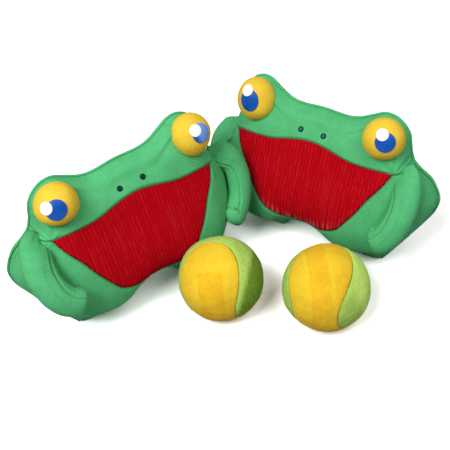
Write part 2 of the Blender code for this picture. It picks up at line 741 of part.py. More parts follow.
def seam_ribbon(turn, centre):
    """Thin wall along the ball's seam, as wide as the clearance between the two covers."""
    steps = 60
    a, b = 1.0 - SEAM_WAIST, SEAM_WAIST
    work = bmesh.new()
    path = []
    for k in range(steps):
        t = 2 * pi * k / steps
        spot = Vector((a * cos(t) + b * cos(3 * t), a * sin(t) - b * sin(3 * t),
                       2 * sqrt(a * b) * sin(2 * t)))
        path.append(turn @ spot)
    rings = []
    for k, spot in enumerate(path):
        along = (path[(k + 1) % steps] - path[k - 1]).normalized()
        across = spot.cross(along).normalized() * 0.5 * CLEARANCE
        low = centre + spot * (BALL_RADIUS - 2.2 * COVER)
        high = centre + spot * (BALL_RADIUS + 1.2 * COVER)
        rings.append([work.verts.new(v) for v in (low - across, high - across, high + across,
                                                  low + across)])
    for k in range(steps):
        here, there = rings[k], rings[(k + 1) % steps]
        for n in range(4):
            m = (n + 1) % 4
            work.faces.new((here[n], here[m], there[m], there[n]))
    bmesh.ops.recalc_face_normals(work, faces=work.faces)
    mesh = bpy.data.meshes.new("seam_ribbon")
    work.to_mesh(mesh)
    work.free()
    return cutter("seam_ribbon", mesh)


def loose_lobes(mesh):
    """Split a mesh into its separate bodies."""
    work = bmesh.new()
    work.from_mesh(mesh)
    left = set(work.faces)
    lobes = []
    while left:
        seed = left.pop()
        group, stack = {seed}, [seed]
        while stack:
            for edge in stack.pop().edges:
                for face in edge.link_faces:
                    if face in left:
                        left.discard(face)
                        group.add(face)
                        stack.append(face)
        lobes.append(group)
    made = []
    for group in lobes:
        single = bmesh.new()
        seen = {}
        for face in sorted(group, key=lambda f: f.index):
            for vert in face.verts:
                if vert.index not in seen:
                    seen[vert.index] = single.verts.new(vert.co)
            single.faces.new([seen[v.index] for v in face.verts])
        bmesh.ops.recalc_face_normals(single, faces=single.faces)
        out = bpy.data.meshes.new("lobe")
        single.to_mesh(out)
        made.append((sum((v.co for v in single.verts), Vector()) / len(single.verts), out))
        single.free()
    work.free()
    return made


def place_ball(prefix, spot, turn, yellow_side):
    """Make a ball standing on a small flat spot, its covers turned as given."""
    centre = Vector((spot[0], spot[1], BALL_RADIUS - BALL_SPOT))
    reach = 4 * BALL_RADIUS
    floor = cutter("ball_floor", box_mesh(
        (spot[0], spot[1], -0.5 * reach), (reach, reach, reach)))
    core_floor = cutter("core_floor", box_mesh(
        (spot[0], spot[1], CLEARANCE - 0.5 * reach), (reach, reach, reach)))
    core = globe_mesh(BALL_RADIUS - COVER - CLEARANCE, centre, 16)
    part(prefix + "_core", boolean(core, [("DIFFERENCE", core_floor)], "core"), "stuffing_white")
    inner = cutter("cover_inner", globe_mesh(BALL_RADIUS - COVER, centre, 16))
    shell = boolean(
        globe_mesh(BALL_RADIUS, centre, 26),
        [("DIFFERENCE", seam_ribbon(turn, centre)), ("DIFFERENCE", inner), ("DIFFERENCE", floor)],
        "cover")
    pole = turn @ Vector((0.0, 0.0, yellow_side))
    lobes = sorted(loose_lobes(shell), key=lambda lobe: -(lobe[0] - centre).dot(pole))
    part(prefix + "_yellow_cover", lobes[0][1], "ball_yellow")
    part(prefix + "_lime_cover", lobes[1][1], "ball_lime")


def seam_turn(lobe_way, tip_way):
    """Turn of the seam that points a lobe's middle one way and its rounded tip another."""
    lobe = Vector(lobe_way).normalized()
    tip = Vector(tip_way)
    tip = (tip - lobe * tip.dot(lobe)).normalized()
    own = Matrix((Vector((1, -1, 0)).normalized(), Vector((0, 0, -1)),
                  Vector((1, -1, 0)).normalized().cross(Vector((0, 0, -1))))).transposed()
    to = Matrix((lobe, tip, lobe.cross(tip))).transposed()
    return to @ own.transposed()


def centre_set():
    """Move the set so that the middle of its footprint is the origin."""
    bpy.context.view_layer.update()
    spots = []
    for item in PARTS.objects:
        if item.type == "MESH":
            spots += [(item.matrix_world @ vert.co)[:2] for vert in item.data.vertices]
    low = np.min(spots, axis=0)
    high = np.max(spots, axis=0)
    SET_FRAME.location = (-0.5 * (low[0] + high[0]), -0.5 * (low[1] + high[1]), 0.0)


def build():
    """Make the whole set."""
    meshes = mitt_meshes()
    hanging = meshes.pop("hanging_left_arm")
    place_mitt("left_mitt", meshes, LEFT_MITT, LEFT_MITT_GAZE, LEFT_MITT_SLUMP)
    meshes["left_arm"] = hanging
    place_mitt("right_mitt", meshes, RIGHT_MITT, RIGHT_MITT_GAZE, RIGHT_MITT_SLUMP)
    place_ball("ball_one", BALL_ONE, seam_turn(*BALL_ONE_LOBE), 1)
    place_ball("ball_two", BALL_TWO, seam_turn(*BALL_TWO_LOBE), -1)
    centre_set()


build()
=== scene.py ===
"""Looks of the hook and loop catch set: two stuffed frog mitts and two fleece balls.

Metres, +Z up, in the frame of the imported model. Each mitt is drawn upright about its own axis
with its front along -Y, then its head is slumped, and it is turned and stood at its place.
"""

import logging
import math
from dataclasses import dataclass, field
from enum import Enum
from functools import lru_cache

import bmesh
import bpy
import numpy as np
from mathutils import Matrix, Vector, noise

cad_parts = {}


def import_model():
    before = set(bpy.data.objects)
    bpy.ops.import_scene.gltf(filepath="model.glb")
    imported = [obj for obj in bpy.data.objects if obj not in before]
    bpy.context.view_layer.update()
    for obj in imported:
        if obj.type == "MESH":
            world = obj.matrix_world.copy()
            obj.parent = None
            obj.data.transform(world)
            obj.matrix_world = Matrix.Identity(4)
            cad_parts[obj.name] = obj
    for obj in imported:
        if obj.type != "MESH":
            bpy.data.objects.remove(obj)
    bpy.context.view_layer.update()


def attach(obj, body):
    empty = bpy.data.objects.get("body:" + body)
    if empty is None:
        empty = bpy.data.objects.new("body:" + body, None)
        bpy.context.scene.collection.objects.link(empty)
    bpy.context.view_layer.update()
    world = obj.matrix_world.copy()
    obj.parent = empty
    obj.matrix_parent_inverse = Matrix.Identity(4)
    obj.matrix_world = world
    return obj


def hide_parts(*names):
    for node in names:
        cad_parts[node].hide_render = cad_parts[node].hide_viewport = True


LOG = logging.getLogger("catch_set")
Colour = tuple[float, float, float]
Points = list[tuple[float, float]]

FLOOR_GAP = 0.0001  # lowest height of a soft piece
WELD_GAP = 0.00002  # points closer than this are one
RIM_TURN = 0.0045  # width of the strip that turns outwards at a rim
SET_SHIFT = (-0.0031965, 0.0550031)  # from the photo's axis to the middle of the set


class Side(Enum):
    """Side of a mitt, as its wearer's front shows it: left is -X."""

    LEFT = -1
    RIGHT = 1


class ArmPose(Enum):
    """How a stuffed arm is laid."""

    BENT = "bent"
    RAISED = "raised"
    FLUNG = "flung"
    HANGING = "hanging"


# Middle line of a right arm in each pose, from its sewn shoulder to the hand
ARM_ROUTES: dict[ArmPose, tuple[tuple[float, float, float], ...]] = {
    ArmPose.HANGING: (
        (0.0765, 0.0050, 0.0985), (0.0835, 0.0000, 0.0925), (0.0905, -0.0040, 0.0835),
        (0.0945, -0.0070, 0.0715), (0.0950, -0.0090, 0.0590), (0.0920, -0.0100, 0.0490),
        (0.0880, -0.0100, 0.0430)),
    ArmPose.FLUNG: (
        (0.0790, 0.0040, 0.1015), (0.0865, 0.0000, 0.0990), (0.0950, -0.0040, 0.0930),
        (0.0985, -0.0080, 0.0845), (0.0985, -0.0125, 0.0740), (0.0942, -0.0180, 0.0605),
        (0.0850, -0.0235, 0.0500), (0.0785, -0.0262, 0.0478)),
    ArmPose.RAISED: (
        (0.0790, 0.0040, 0.1030), (0.0850, -0.0030, 0.0992), (0.0892, -0.0120, 0.0908),
        (0.0902, -0.0205, 0.0812), (0.0877, -0.0283, 0.0707), (0.0812, -0.0325, 0.0615),
        (0.0722, -0.0348, 0.0560)),
    ArmPose.BENT: (
        (0.0780, 0.0040, 0.1015), (0.0826, -0.0020, 0.0968), (0.0873, -0.0115, 0.0868),
        (0.0876, -0.0205, 0.0735), (0.0838, -0.0275, 0.0610), (0.0778, -0.0320, 0.0530),
        (0.0722, -0.0335, 0.0498)),
}
# Half width of an arm in each pose
ARM_SPREADS = {ArmPose.HANGING: 0.0108, ArmPose.FLUNG: 0.0102, ArmPose.RAISED: 0.0119,
               ArmPose.BENT: 0.0112}


# Small tools


def ease(value: np.ndarray | float) -> np.ndarray:
    """Return the smooth step from 0 to 1 of a value."""
    t = np.clip(value, 0.0, 1.0)
    return t * t * (3.0 - 2.0 * t)


def fall(distance: np.ndarray | float, reach: float) -> np.ndarray:
    """Return 1 on a line, falling smoothly to 0 at a reach from it."""
    return 1.0 - ease(distance / reach)


def bell(value: np.ndarray, width: float) -> np.ndarray:
    """Return a bell curve: 1 at a value of 0, and 0.37 at its width."""
    return np.exp(-((value / width) ** 2))


def smooth_line(points: np.ndarray, steps: int, closed: bool = False) -> np.ndarray:
    """Return Catmull-Rom points through a line.

    Args:
        points: control points, one a row.
        steps: new points for each stretch.
        closed: whether the line joins its own start.

    Returns:
        The new points, one a row.
    """
    rows = np.asarray(points, float)
    if closed:
        padded = np.vstack([rows[-1:], rows, rows[:2]])
    else:
        padded = np.vstack([2 * rows[:1] - rows[1:2], rows, 2 * rows[-1:] - rows[-2:-1]])
    t = (np.arange(steps) / steps)[:, None]
    made = []
    for k in range(1, len(padded) - 2):
        a, b, c, d = padded[k - 1 : k + 3]
        made.append(
            0.5
            * (
                2 * b
                + (c - a) * t
                + (2 * a - 5 * b + 4 * c - d) * t**2
                + (3 * b - a - 3 * c + d) * t**3
            )
        )
    if not closed:
        made.append(rows[-1:])
    return np.vstack(made)


def even_line(points: np.ndarray, count: int) -> np.ndarray:
    """Return a line's points spread evenly along its length.

    Args:
        points: points of the line, one a row.
        count: how many points are wanted.

    Returns:
        The new points, one a row.
    """
    steps = np.linalg.norm(np.diff(points, axis=0), axis=1)
    along = np.concatenate([[0.0], np.cumsum(steps)])
    wanted = np.linspace(0.0, along[-1], count)
    return np.stack([np.interp(wanted, along, points[:, k]) for k in range(points.shape[1])], 1)


def lumps(points: np.ndarray, size: float, seed: float) -> np.ndarray:
    """Return soft noise from -1 to 1 at points.

    Args:
        points: places, one a row.
        size: size of a lump in metres.
        seed: shift that makes one piece's lumps its own.
    """
    shift = Vector((seed, 0.37 * seed, -0.61 * seed))
    return np.array([noise.noise(Vector(p) / size + shift) for p in points])


def deselect() -> None:
    """Leave edit mode and select nothing."""
    if bpy.context.object is not None and bpy.context.object.mode != "OBJECT":
        bpy.ops.object.mode_set(mode="OBJECT")
    bpy.ops.object.select_all(action="DESELECT")


def pick(item: bpy.types.Object) -> None:
    """Select one object alone and make it the active one."""
    deselect()
    item.select_set(True)
    bpy.context.view_layer.objects.active = item


def settle(item: bpy.types.Object) -> None:
    """Put an object's place into its mesh, so that the object sits at the origin."""
    pick(item)
    bpy.ops.object.transform_apply(location=True, rotation=True, scale=True)


def apply_all(item: bpy.types.Object) -> None:
    """Apply every modifier of an object."""
    pick(item)
    for modifier in list(item.modifiers):
        bpy.ops.object.modifier_apply(modifier=modifier.name)


def outward(item: bpy.types.Object) -> None:
    """Make a closed mesh's faces point outwards."""
    pick(item)
    bpy.ops.object.mode_set(mode="EDIT")
    bpy.ops.mesh.select_all(action="SELECT")
    bpy.ops.mesh.normals_make_consistent(inside=False)
    bpy.ops.object.mode_set(mode="OBJECT")


def mesh_points(item: bpy.types.Object) -> np.ndarray:
    """Return a mesh's points, one a row."""
    flat = np.empty(len(item.data.vertices) * 3)
    item.data.vertices.foreach_get("co", flat)
    return flat.reshape(-1, 3)


def move_points(item: bpy.types.Object, points: np.ndarray) -> None:
    """Put a mesh's points at new places."""
    item.data.vertices.foreach_set("co", points.ravel())
    item.data.update()


def above_floor(item: bpy.types.Object) -> None:
    """Keep a piece's lowest points on the floor."""
    points = mesh_points(item)
    if points[:, 2].min() < FLOOR_GAP:
        LOG.info("%s: lowest point %.4f m, laid on the floor", item.name, points[:, 2].min())
        points[:, 2] = np.maximum(points[:, 2], FLOOR_GAP)
        move_points(item, points)


def into_scene(name: str, data: bpy.types.ID) -> bpy.types.Object:
    """Return a new object of a mesh, a lamp or a camera, put into the scene."""
    item = bpy.data.objects.new(name, data)
    bpy.context.scene.collection.objects.link(item)
    return item


def write_mark(mesh: bpy.types.Mesh, mark: str, values: np.ndarray) -> None:
    """Store a named value at each point of a mesh, such as the distance to a seam."""
    attribute = mesh.attributes.new(mark, "FLOAT", "POINT")
    attribute.data.foreach_set("value", values.astype(np.float32).ravel())


def thicken(item: bpy.types.Object, thickness: float) -> None:
    """Add a modifier that gives a sheet its thickness, inwards from its face."""
    wall = item.modifiers.new("wall", "SOLIDIFY")
    wall.thickness = thickness
    wall.offset = -1.0


def declare(piece: bpy.types.Object, node: str, slot: str) -> None:
    """Dress a piece, keep it above the floor, hang it on the root body and hide the CAD node that
    it replaces.

    Args:
        piece: the piece.
        node: the CAD node that it replaces.
        slot: its material slot.
    """
    piece.data.materials.append(finish_of(slot))
    above_floor(piece)
    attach(piece, "root")
    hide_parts(node)
    LOG.info("%s: %d faces", piece.name, len(piece.data.polygons))


def sewn_sheet(
    name: str,
    grid: np.ndarray,
    uv: np.ndarray,
    marks: dict[str, np.ndarray],
    thickness: float,
    closed_rows: bool = False,
) -> bpy.types.Object:
    """Make a fabric panel from a grid of points, as a closed shell of even thickness.

    Args:
        name: the piece's name.
        grid: places, an array of rows by columns by 3.
        uv: flat place of each point in metres, rows by columns by 2.
        marks: named values at each point, such as the distance to a seam.
        thickness: fabric thickness, taken inwards, or 0 for a grid that closes itself.
        closed_rows: whether the last column joins the first.

    Returns:
        The piece.
    """
    rows, columns = grid.shape[:2]
    index = np.arange(rows * columns).reshape(rows, columns)
    if closed_rows:
        index = np.hstack([index, index[:, :1]])
    quads = np.stack([index[:-1, :-1], index[:-1, 1:], index[1:, 1:], index[1:, :-1]], -1)
    quads = quads.reshape(-1, 4)
    mesh = bpy.data.meshes.new(name)
    mesh.from_pydata(grid.reshape(-1, 3).tolist(), [], quads.tolist())
    layer = mesh.uv_layers.new(name="cloth")
    loops = np.empty(len(mesh.loops), int)
    mesh.loops.foreach_get("vertex_index", loops)
    layer.data.foreach_set("uv", uv.reshape(-1, 2)[loops].astype(np.float32).ravel())
    for mark, values in marks.items():
        write_mark(mesh, mark, values)
    item = into_scene(name, mesh)
    pick(item)
    bpy.ops.object.mode_set(mode="EDIT")
    bpy.ops.mesh.select_all(action="SELECT")
    bpy.ops.mesh.remove_doubles(threshold=WELD_GAP)
    bpy.ops.object.mode_set(mode="OBJECT")
    if thickness > 0.0:
        thicken(item, thickness)
        apply_all(item)
    item.data.shade_smooth()
    return item


def grid_normals(grid: np.ndarray) -> np.ndarray:
    """Return unit normals of a grid of points, towards -Y where the columns run along +X."""
    across = np.gradient(grid, axis=1)
    down = np.gradient(grid, axis=0)
    normal = np.cross(across, down)
    return normal / np.maximum(np.linalg.norm(normal, axis=2, keepdims=True), 1e-12)


def way_out(azimuth: float, height: float) -> Vector:
    """Return a unit way at an azimuth from the front and a height, both in degrees."""
    a, h = math.radians(azimuth), math.radians(height)
    return Vector((math.sin(a) * math.cos(h), -math.cos(a) * math.cos(h), math.sin(h)))


# Node workbench and shared effects


class Bench:
    """A node tree under construction, with short calls for adding and joining nodes."""

    def __init__(self, tree: bpy.types.NodeTree) -> None:
        """Empty a tree and start on it."""
        self.tree = tree
        tree.nodes.clear()

    def add(self, kind: str, **settings: object) -> bpy.types.Node:
        """Add a node and set its own properties."""
        made = self.tree.nodes.new(kind)
        for name, value in settings.items():
            setattr(made, name, value)
        return made

    def join(self, source: bpy.types.NodeSocket, target: bpy.types.NodeSocket) -> None:
        """Link two sockets."""
        self.tree.links.new(source, target)

    def feed(self, socket: bpy.types.NodeSocket, value: object) -> None:
        """Link a socket, or set its value where no socket is given."""
        if isinstance(value, bpy.types.NodeSocket):
            self.join(value, socket)
        elif isinstance(value, tuple) and len(value) == 3 and socket.type == "RGBA":
            socket.default_value = (*value, 1.0)
        else:
            socket.default_value = value

    def math(self, operation: str, *values: object) -> bpy.types.NodeSocket:
        """Add a Math node and return its result."""
        made = self.add("ShaderNodeMath", operation=operation)
        for socket, value in zip(made.inputs, values):
            self.feed(socket, value)
        return made.outputs[0]

    def noise(self, vector: object, scale: float, detail: float = 2.0) -> bpy.types.NodeSocket:
        """Add a Noise texture and return its value."""
        made = self.add("ShaderNodeTexNoise")
        self.feed(made.inputs["Vector"], vector)
        self.feed(made.inputs["Scale"], scale)
        made.inputs["Detail"].default_value = detail
        return made.outputs["Fac"]

    def mix(self, share: object, first: object, second: object) -> bpy.types.NodeSocket:
        """Mix two colours and return the result."""
        made = self.add("ShaderNodeMix", data_type="RGBA")
        self.feed(made.inputs["Factor"], share)
        self.feed(made.inputs[6], first)
        self.feed(made.inputs[7], second)
        return made.outputs[2]

    def span(
        self, value: object, low: float, high: float, to_low: float, to_high: float
    ) -> bpy.types.NodeSocket:
        """Map a value smoothly from one span to another and return the result."""
        made = self.add("ShaderNodeMapRange", interpolation_type="SMOOTHSTEP")
        for socket, number in zip(made.inputs, (value, low, high, to_low, to_high)):
            self.feed(socket, number)
        return made.outputs[0]

    def place(self) -> bpy.types.NodeSocket:
        """Return the place on the piece, in its own space."""
        return self.add("ShaderNodeTexCoord").outputs["Object"]

    def cloth(self) -> bpy.types.NodeSocket:
        """Return the flat place on the piece's cloth, in metres."""
        return self.add("ShaderNodeUVMap", uv_map="cloth").outputs["UV"]

    def mark(self, name: str) -> bpy.types.NodeSocket:
        """Return a piece's own named value."""
        return self.add("ShaderNodeAttribute", attribute_name=name).outputs["Fac"]

    def split(self, vector: bpy.types.NodeSocket) -> bpy.types.Node:
        """Add a node that parts a vector into X, Y and Z."""
        made = self.add("ShaderNodeSeparateXYZ")
        self.join(vector, made.inputs[0])
        return made

    def stretched(self, vector: bpy.types.NodeSocket, scale: tuple[float, float, float],
                  turn: float = 0.0) -> bpy.types.NodeSocket:
        """Scale a vector, turn it about Z and return the result."""
        made = self.add("ShaderNodeMapping")
        made.inputs["Rotation"].default_value = (0.0, 0.0, turn)
        made.inputs["Scale"].default_value = scale
        self.join(vector, made.inputs["Vector"])
        return made.outputs[0]

    def scaled(self, colour: bpy.types.NodeSocket, factor: object) -> bpy.types.NodeSocket:
        """Scale a colour and return the result."""
        made = self.add("ShaderNodeVectorMath", operation="SCALE")
        self.join(colour, made.inputs[0])
        self.feed(made.inputs["Scale"], factor)
        return made.outputs[0]

    def wave(self, value: object, pitch: float) -> bpy.types.NodeSocket:
        """Return a wave from 0 to 1 that repeats at each pitch."""
        turn = self.math("MULTIPLY", value, 2 * math.pi / pitch)
        return self.math("MULTIPLY_ADD", self.math("SINE", turn), 0.5, 0.5)

    def shaded(self, colour: object, mark: str, width: float, depth: float) -> object:
        """Return a colour that darkens near a marked line."""
        made = self.group("seam_shade", Color=colour, Distance=self.mark(mark), Width=width,
                          Depth=depth)
        return made.outputs["Color"]

    def group(self, name: str, **values: object) -> bpy.types.Node:
        """Place a shared effect in the tree and give it its own values."""
        made = self.add("ShaderNodeGroup", node_tree=bpy.data.node_groups[name])
        for socket, value in values.items():
            self.feed(made.inputs[socket], value)
        return made


def new_group(name: str, inputs: dict[str, str], outputs: dict[str, str]) -> tuple[
    Bench, bpy.types.Node, bpy.types.Node
]:
    """Start a shared effect.

    Args:
        name: the group's name.
        inputs: socket names and their types.
        outputs: socket names and their types.

    Returns:
        Its workbench, its input node and its output node.
    """
    tree = bpy.data.node_groups.new(name, "ShaderNodeTree")
    for label, kind in inputs.items():
        tree.interface.new_socket(label, in_out="INPUT", socket_type=kind)
    for label, kind in outputs.items():
        tree.interface.new_socket(label, in_out="OUTPUT", socket_type=kind)
    bench = Bench(tree)
    return bench, bench.add("NodeGroupInput"), bench.add("NodeGroupOutput")


def make_shared_effects() -> None:
    """Make the effects that more than one fabric uses: fibre, knit loops and seam shade."""
    number, colour, vector = "NodeSocketFloat", "NodeSocketColor", "NodeSocketVector"

    bench, given, result = new_group(
        "fibre",
        {"Vector": vector, "Light": colour, "Deep": colour, "Patch": number, "Grain": number},
        {"Color": colour, "Height": number},
    )
    broad = bench.noise(given.outputs["Vector"], 1.0)
    bench.join(given.outputs["Patch"], broad.node.inputs["Scale"])
    fine = bench.noise(given.outputs["Vector"], 1.0, 3.0)
    bench.join(given.outputs["Grain"], fine.node.inputs["Scale"])
    both = bench.math("MULTIPLY_ADD", fine, 0.45, bench.math("MULTIPLY", broad, 0.55))
    share = bench.span(both, 0.34, 0.66, 0.0, 1.0)
    tint = bench.mix(share, given.outputs["Deep"], given.outputs["Light"])
    bench.join(tint, result.inputs["Color"])
    bench.join(fine, result.inputs["Height"])

    bench, given, result = new_group(
        "knit_loops",
        {"Vector": vector, "Wale": number, "Course": number},
        {"Height": number},
    )
    split = bench.split(given.outputs["Vector"])
    wale = bench.math("MULTIPLY", split.outputs["X"], given.outputs["Wale"])
    course = bench.math("MULTIPLY", split.outputs["Y"], given.outputs["Course"])
    ridge = bench.math("ABSOLUTE", bench.math("SINE", wale))
    slant = bench.math("ADD", course, bench.math("MULTIPLY", ridge, 1.4))
    loop = bench.math("MULTIPLY_ADD", bench.math("SINE", slant), 0.5, 0.5)
    bench.join(bench.math("MULTIPLY", ridge, loop), result.inputs["Height"])

    bench, given, result = new_group(
        "seam_shade",
        {"Color": colour, "Distance": number, "Width": number, "Depth": number},
        {"Color": colour},
    )
    near = bench.math("DIVIDE", given.outputs["Distance"], given.outputs["Width"])
    fall = bench.math("SUBTRACT", 1.0, bench.span(near, 0.0, 1.0, 0.0, 1.0))
    keep = bench.math("SUBTRACT", 1.0, bench.math("MULTIPLY", fall, given.outputs["Depth"]))
    bench.join(bench.scaled(given.outputs["Color"], keep), result.inputs["Color"])


def open_material(name: str) -> tuple[Bench, bpy.types.Node]:
    """Start a material and return its workbench and its Principled shader."""
    made = bpy.data.materials.new(name)
    made.use_nodes = True
    bench = Bench(made.node_tree)
    shader = bench.add("ShaderNodeBsdfPrincipled")
    output = bench.add("ShaderNodeOutputMaterial")
    bench.join(shader.outputs[0], output.inputs["Surface"])
    return bench, shader


def finish_of(slot: str) -> bpy.types.Material:
    """Return the finish made for a material slot."""
    return bpy.data.materials[f"{slot}_finish"]


@dataclass(frozen=True)
class Surface:
    """How a finish catches the light: its relief, its gloss and its sheen."""

    relief: float
    strength: float
    gloss: float | None
    sheen: float = 0.0
    sheen_roughness: float = 0.5
    sheen_tint: Colour = (1.0, 1.0, 1.0)

    def lay(self, bench: Bench, shader: bpy.types.Node, colour: bpy.types.NodeSocket,
            height: bpy.types.NodeSocket, rough: bpy.types.NodeSocket) -> None:
        """Join a finish's parts to its shader.

        Args:
            bench: the material's workbench.
            shader: its Principled shader.
            colour: the colour.
            height: the height of its relief, as a share of that relief.
            rough: the roughness.
        """
        bump = bench.add("ShaderNodeBump")
        bump.inputs["Strength"].default_value = self.strength
        bump.inputs["Distance"].default_value = self.relief
        bench.join(height, bump.inputs["Height"])
        bench.join(bump.outputs["Normal"], shader.inputs["Normal"])
        bench.join(colour, shader.inputs["Base Color"])
        bench.join(rough, shader.inputs["Roughness"])
        if self.gloss is not None:
            shader.inputs["Specular IOR Level"].default_value = self.gloss
        shader.inputs["Sheen Weight"].default_value = self.sheen
        shader.inputs["Sheen Roughness"].default_value = self.sheen_roughness
        shader.inputs["Sheen Tint"].default_value = (*self.sheen_tint, 1.0)


@dataclass(frozen=True)
class KnitFinish:
    """Matte brushed knit bonded to foam, as on the mitt's panels and arms."""

    slot: str = "green_knit"
    light: Colour = (0.108, 0.545, 0.218)
    deep: Colour = (0.086, 0.455, 0.176)
    wale_pitch: float = 0.0011
    course_pitch: float = 0.0008
    surface: Surface = Surface(0.00038, 0.8, 0.08, 0.04, 0.45, (0.45, 0.95, 0.55))

    def material(self, name: str) -> None:
        """Make the finish, which reads the marks "seam" and "stitch"."""
        bench, shader = open_material(name)
        fibre = bench.group("fibre", Vector=bench.place(), Light=self.light, Deep=self.deep,
                            Patch=55.0, Grain=620.0)
        loops = bench.group("knit_loops", Vector=bench.cloth(), Wale=math.pi / self.wale_pitch,
                            Course=2 * math.pi / self.course_pitch)
        shade = bench.shaded(fibre.outputs["Color"], "seam", 0.0022, 0.45)
        shade = bench.shaded(shade, "stitch", 0.0008, 0.40)
        height = bench.math("MULTIPLY_ADD", loops.outputs["Height"], 0.6, fibre.outputs["Height"])
        rough = bench.span(fibre.outputs["Height"], 0.2, 0.8, 0.95, 0.82)
        self.surface.lay(bench, shader, shade, height, rough)


@dataclass(frozen=True)
class RibbedLoopFinish:
    """Loop pile knitted in upright ribs, as in the mitt's mouth."""

    slot: str = "red_loop"
    crest: Colour = (0.860, 0.0060, 0.0170)
    trough: Colour = (0.300, 0.0011, 0.0036)
    worn: Colour = (0.820, 0.0450, 0.0560)
    # Pale red of the worn jaw
    wear_and_reflection_tint: Colour = (0.900, 0.3200, 0.3200)
    rib_pitch: float = 0.00145
    ladder_pitch: float = 0.0032
    ladder: float = 0.28
    surface: Surface = Surface(0.00035, 0.8, 0.0)

    def material(self, name: str) -> None:
        """Make the finish, which reads a seam mark and a mark of wear at the jaw."""
        bench, shader = open_material(name)
        flat = bench.cloth()
        across = bench.math("MULTIPLY_ADD", bench.noise(flat, 60.0), 0.0012,
                            bench.split(flat).outputs["X"])
        rib = bench.wave(across, self.rib_pitch)
        streak = bench.noise(bench.stretched(flat, (1.0, 0.05, 1.0)), 420.0, 1.0)
        pile = bench.noise(flat, 1700.0)
        rung = bench.wave(across, self.ladder_pitch)
        worn = bench.math("MULTIPLY", bench.span(rung, 0.93, 1.0, 0.0, 0.55),
                          bench.span(bench.noise(flat, 150.0), 0.42, 0.66, 0.0, 1.0))
        worn = bench.math("MAXIMUM", worn, bench.span(streak, 0.54, 0.76, 0.0, 0.22))
        rub = bench.math("MULTIPLY", bench.mark("rub"), bench.span(streak, 0.46, 0.60, 0.0, 0.85))
        lit = bench.mix(rib, self.trough, self.crest)
        for share, over in ((worn, self.worn), (rub, self.wear_and_reflection_tint),
                            (bench.span(rung, 0.0, 0.35, self.ladder, 0.0), self.trough),
                            (bench.span(pile, 0.35, 0.75, 0.34, 0.0), self.trough)):
            lit = bench.mix(share, lit, over)
        height = bench.math("ADD", rib, bench.math("MULTIPLY", pile, 0.5))
        self.surface.lay(bench, shader, bench.shaded(lit, "seam", 0.0026, 0.55), height,
                         bench.span(pile, 0.2, 0.8, 0.98, 0.85))


@dataclass(frozen=True)
class FleeceFinish:
    """Napped cloth with a soft lay, as on the eyes and the balls."""

    slot: str
    light: Colour
    deep: Colour
    nap_turn: float = 0.0
    nap_stretch: float = 0.25
    stroke: float = 0.30
    tint: Colour = (1.0, 0.9, 0.5)
    darker: float = 0.86

    def material(self, name: str) -> None:
        """Make the finish, which reads a seam mark and a mark of deeper nap, partly painted shade
        on the lime lobes.
        """
        bench, shader = open_material(name)
        place = bench.place()
        lay = bench.stretched(place, (1.0, 1.0, self.nap_stretch), self.nap_turn)
        strokes = bench.noise(lay, 520.0, 3.0)
        nap = bench.math("ADD", bench.span(strokes, 0.35, 0.70, -0.4 * self.stroke, self.stroke),
                         bench.mark("nap"))
        nap = bench.math("MAXIMUM", bench.math("MINIMUM", nap, 1.0), 0.0)
        lain = bench.mix(nap, self.light, self.deep)
        fibre = bench.group("fibre", Vector=place, Light=lain,
                            Deep=bench.scaled(lain, self.darker), Patch=60.0, Grain=1100.0)
        shade = bench.shaded(fibre.outputs["Color"], "seam", 0.0016, 0.14)
        height = bench.math("ADD", strokes, bench.math("MULTIPLY", fibre.outputs["Height"], 0.8))
        surface = Surface(0.00045, 0.7, 0.06, 0.10, 0.4, self.tint)
        surface.lay(bench, shader, shade, height, bench.span(strokes, 0.2, 0.8, 0.97, 0.84))


@dataclass(frozen=True)
class PatchFinish:
    """Smooth bonded patch with a slight sheen, as on the iris and the glint."""

    slot: str
    light: Colour
    deep: Colour
    roughness: tuple[float, float] = (0.30, 0.44)
    # Pale blue of a painted reflection, laid on one side of an iris
    wear_and_reflection_tint: Colour = (0.16, 0.32, 0.80)
    surface: Surface = Surface(0.00006, 0.4, 0.20)

    def material(self, name: str) -> None:
        """Make the finish, which reads one mark: a painted reflection that pales one side of the
        patch.
        """
        bench, shader = open_material(name)
        place = bench.place()
        cloud = bench.noise(place, 260.0)
        grain = bench.noise(place, 2600.0)
        tint = bench.mix(bench.span(cloud, 0.35, 0.65, 0.0, 1.0), self.deep, self.light)
        tint = bench.mix(bench.mark("rub"), tint, self.wear_and_reflection_tint)
        self.surface.lay(bench, shader, tint, grain,
                         bench.span(grain, 0.3, 0.7, *self.roughness))


@dataclass(frozen=True)
class ThreadFinish:
    """Twisted embroidery thread, as in the nostrils and the seams."""

    slot: str
    light: Colour
    deep: Colour
    core: Colour = (0.004, 0.190, 0.130)
    surface: Surface = Surface(0.0002, 0.8, 0.12)

    def material(self, name: str) -> None:
        """Make the finish, which reads the mark "core"."""
        bench, shader = open_material(name)
        fibre = bench.group("fibre", Vector=bench.place(), Light=self.light, Deep=self.deep,
                            Patch=500.0, Grain=3000.0)
        shown = bench.mix(bench.mark("core"), fibre.outputs["Color"], self.core)
        height = fibre.outputs["Height"]
        self.surface.lay(bench, shader, shown, height, bench.span(height, 0.2, 0.8, 0.75, 0.5))


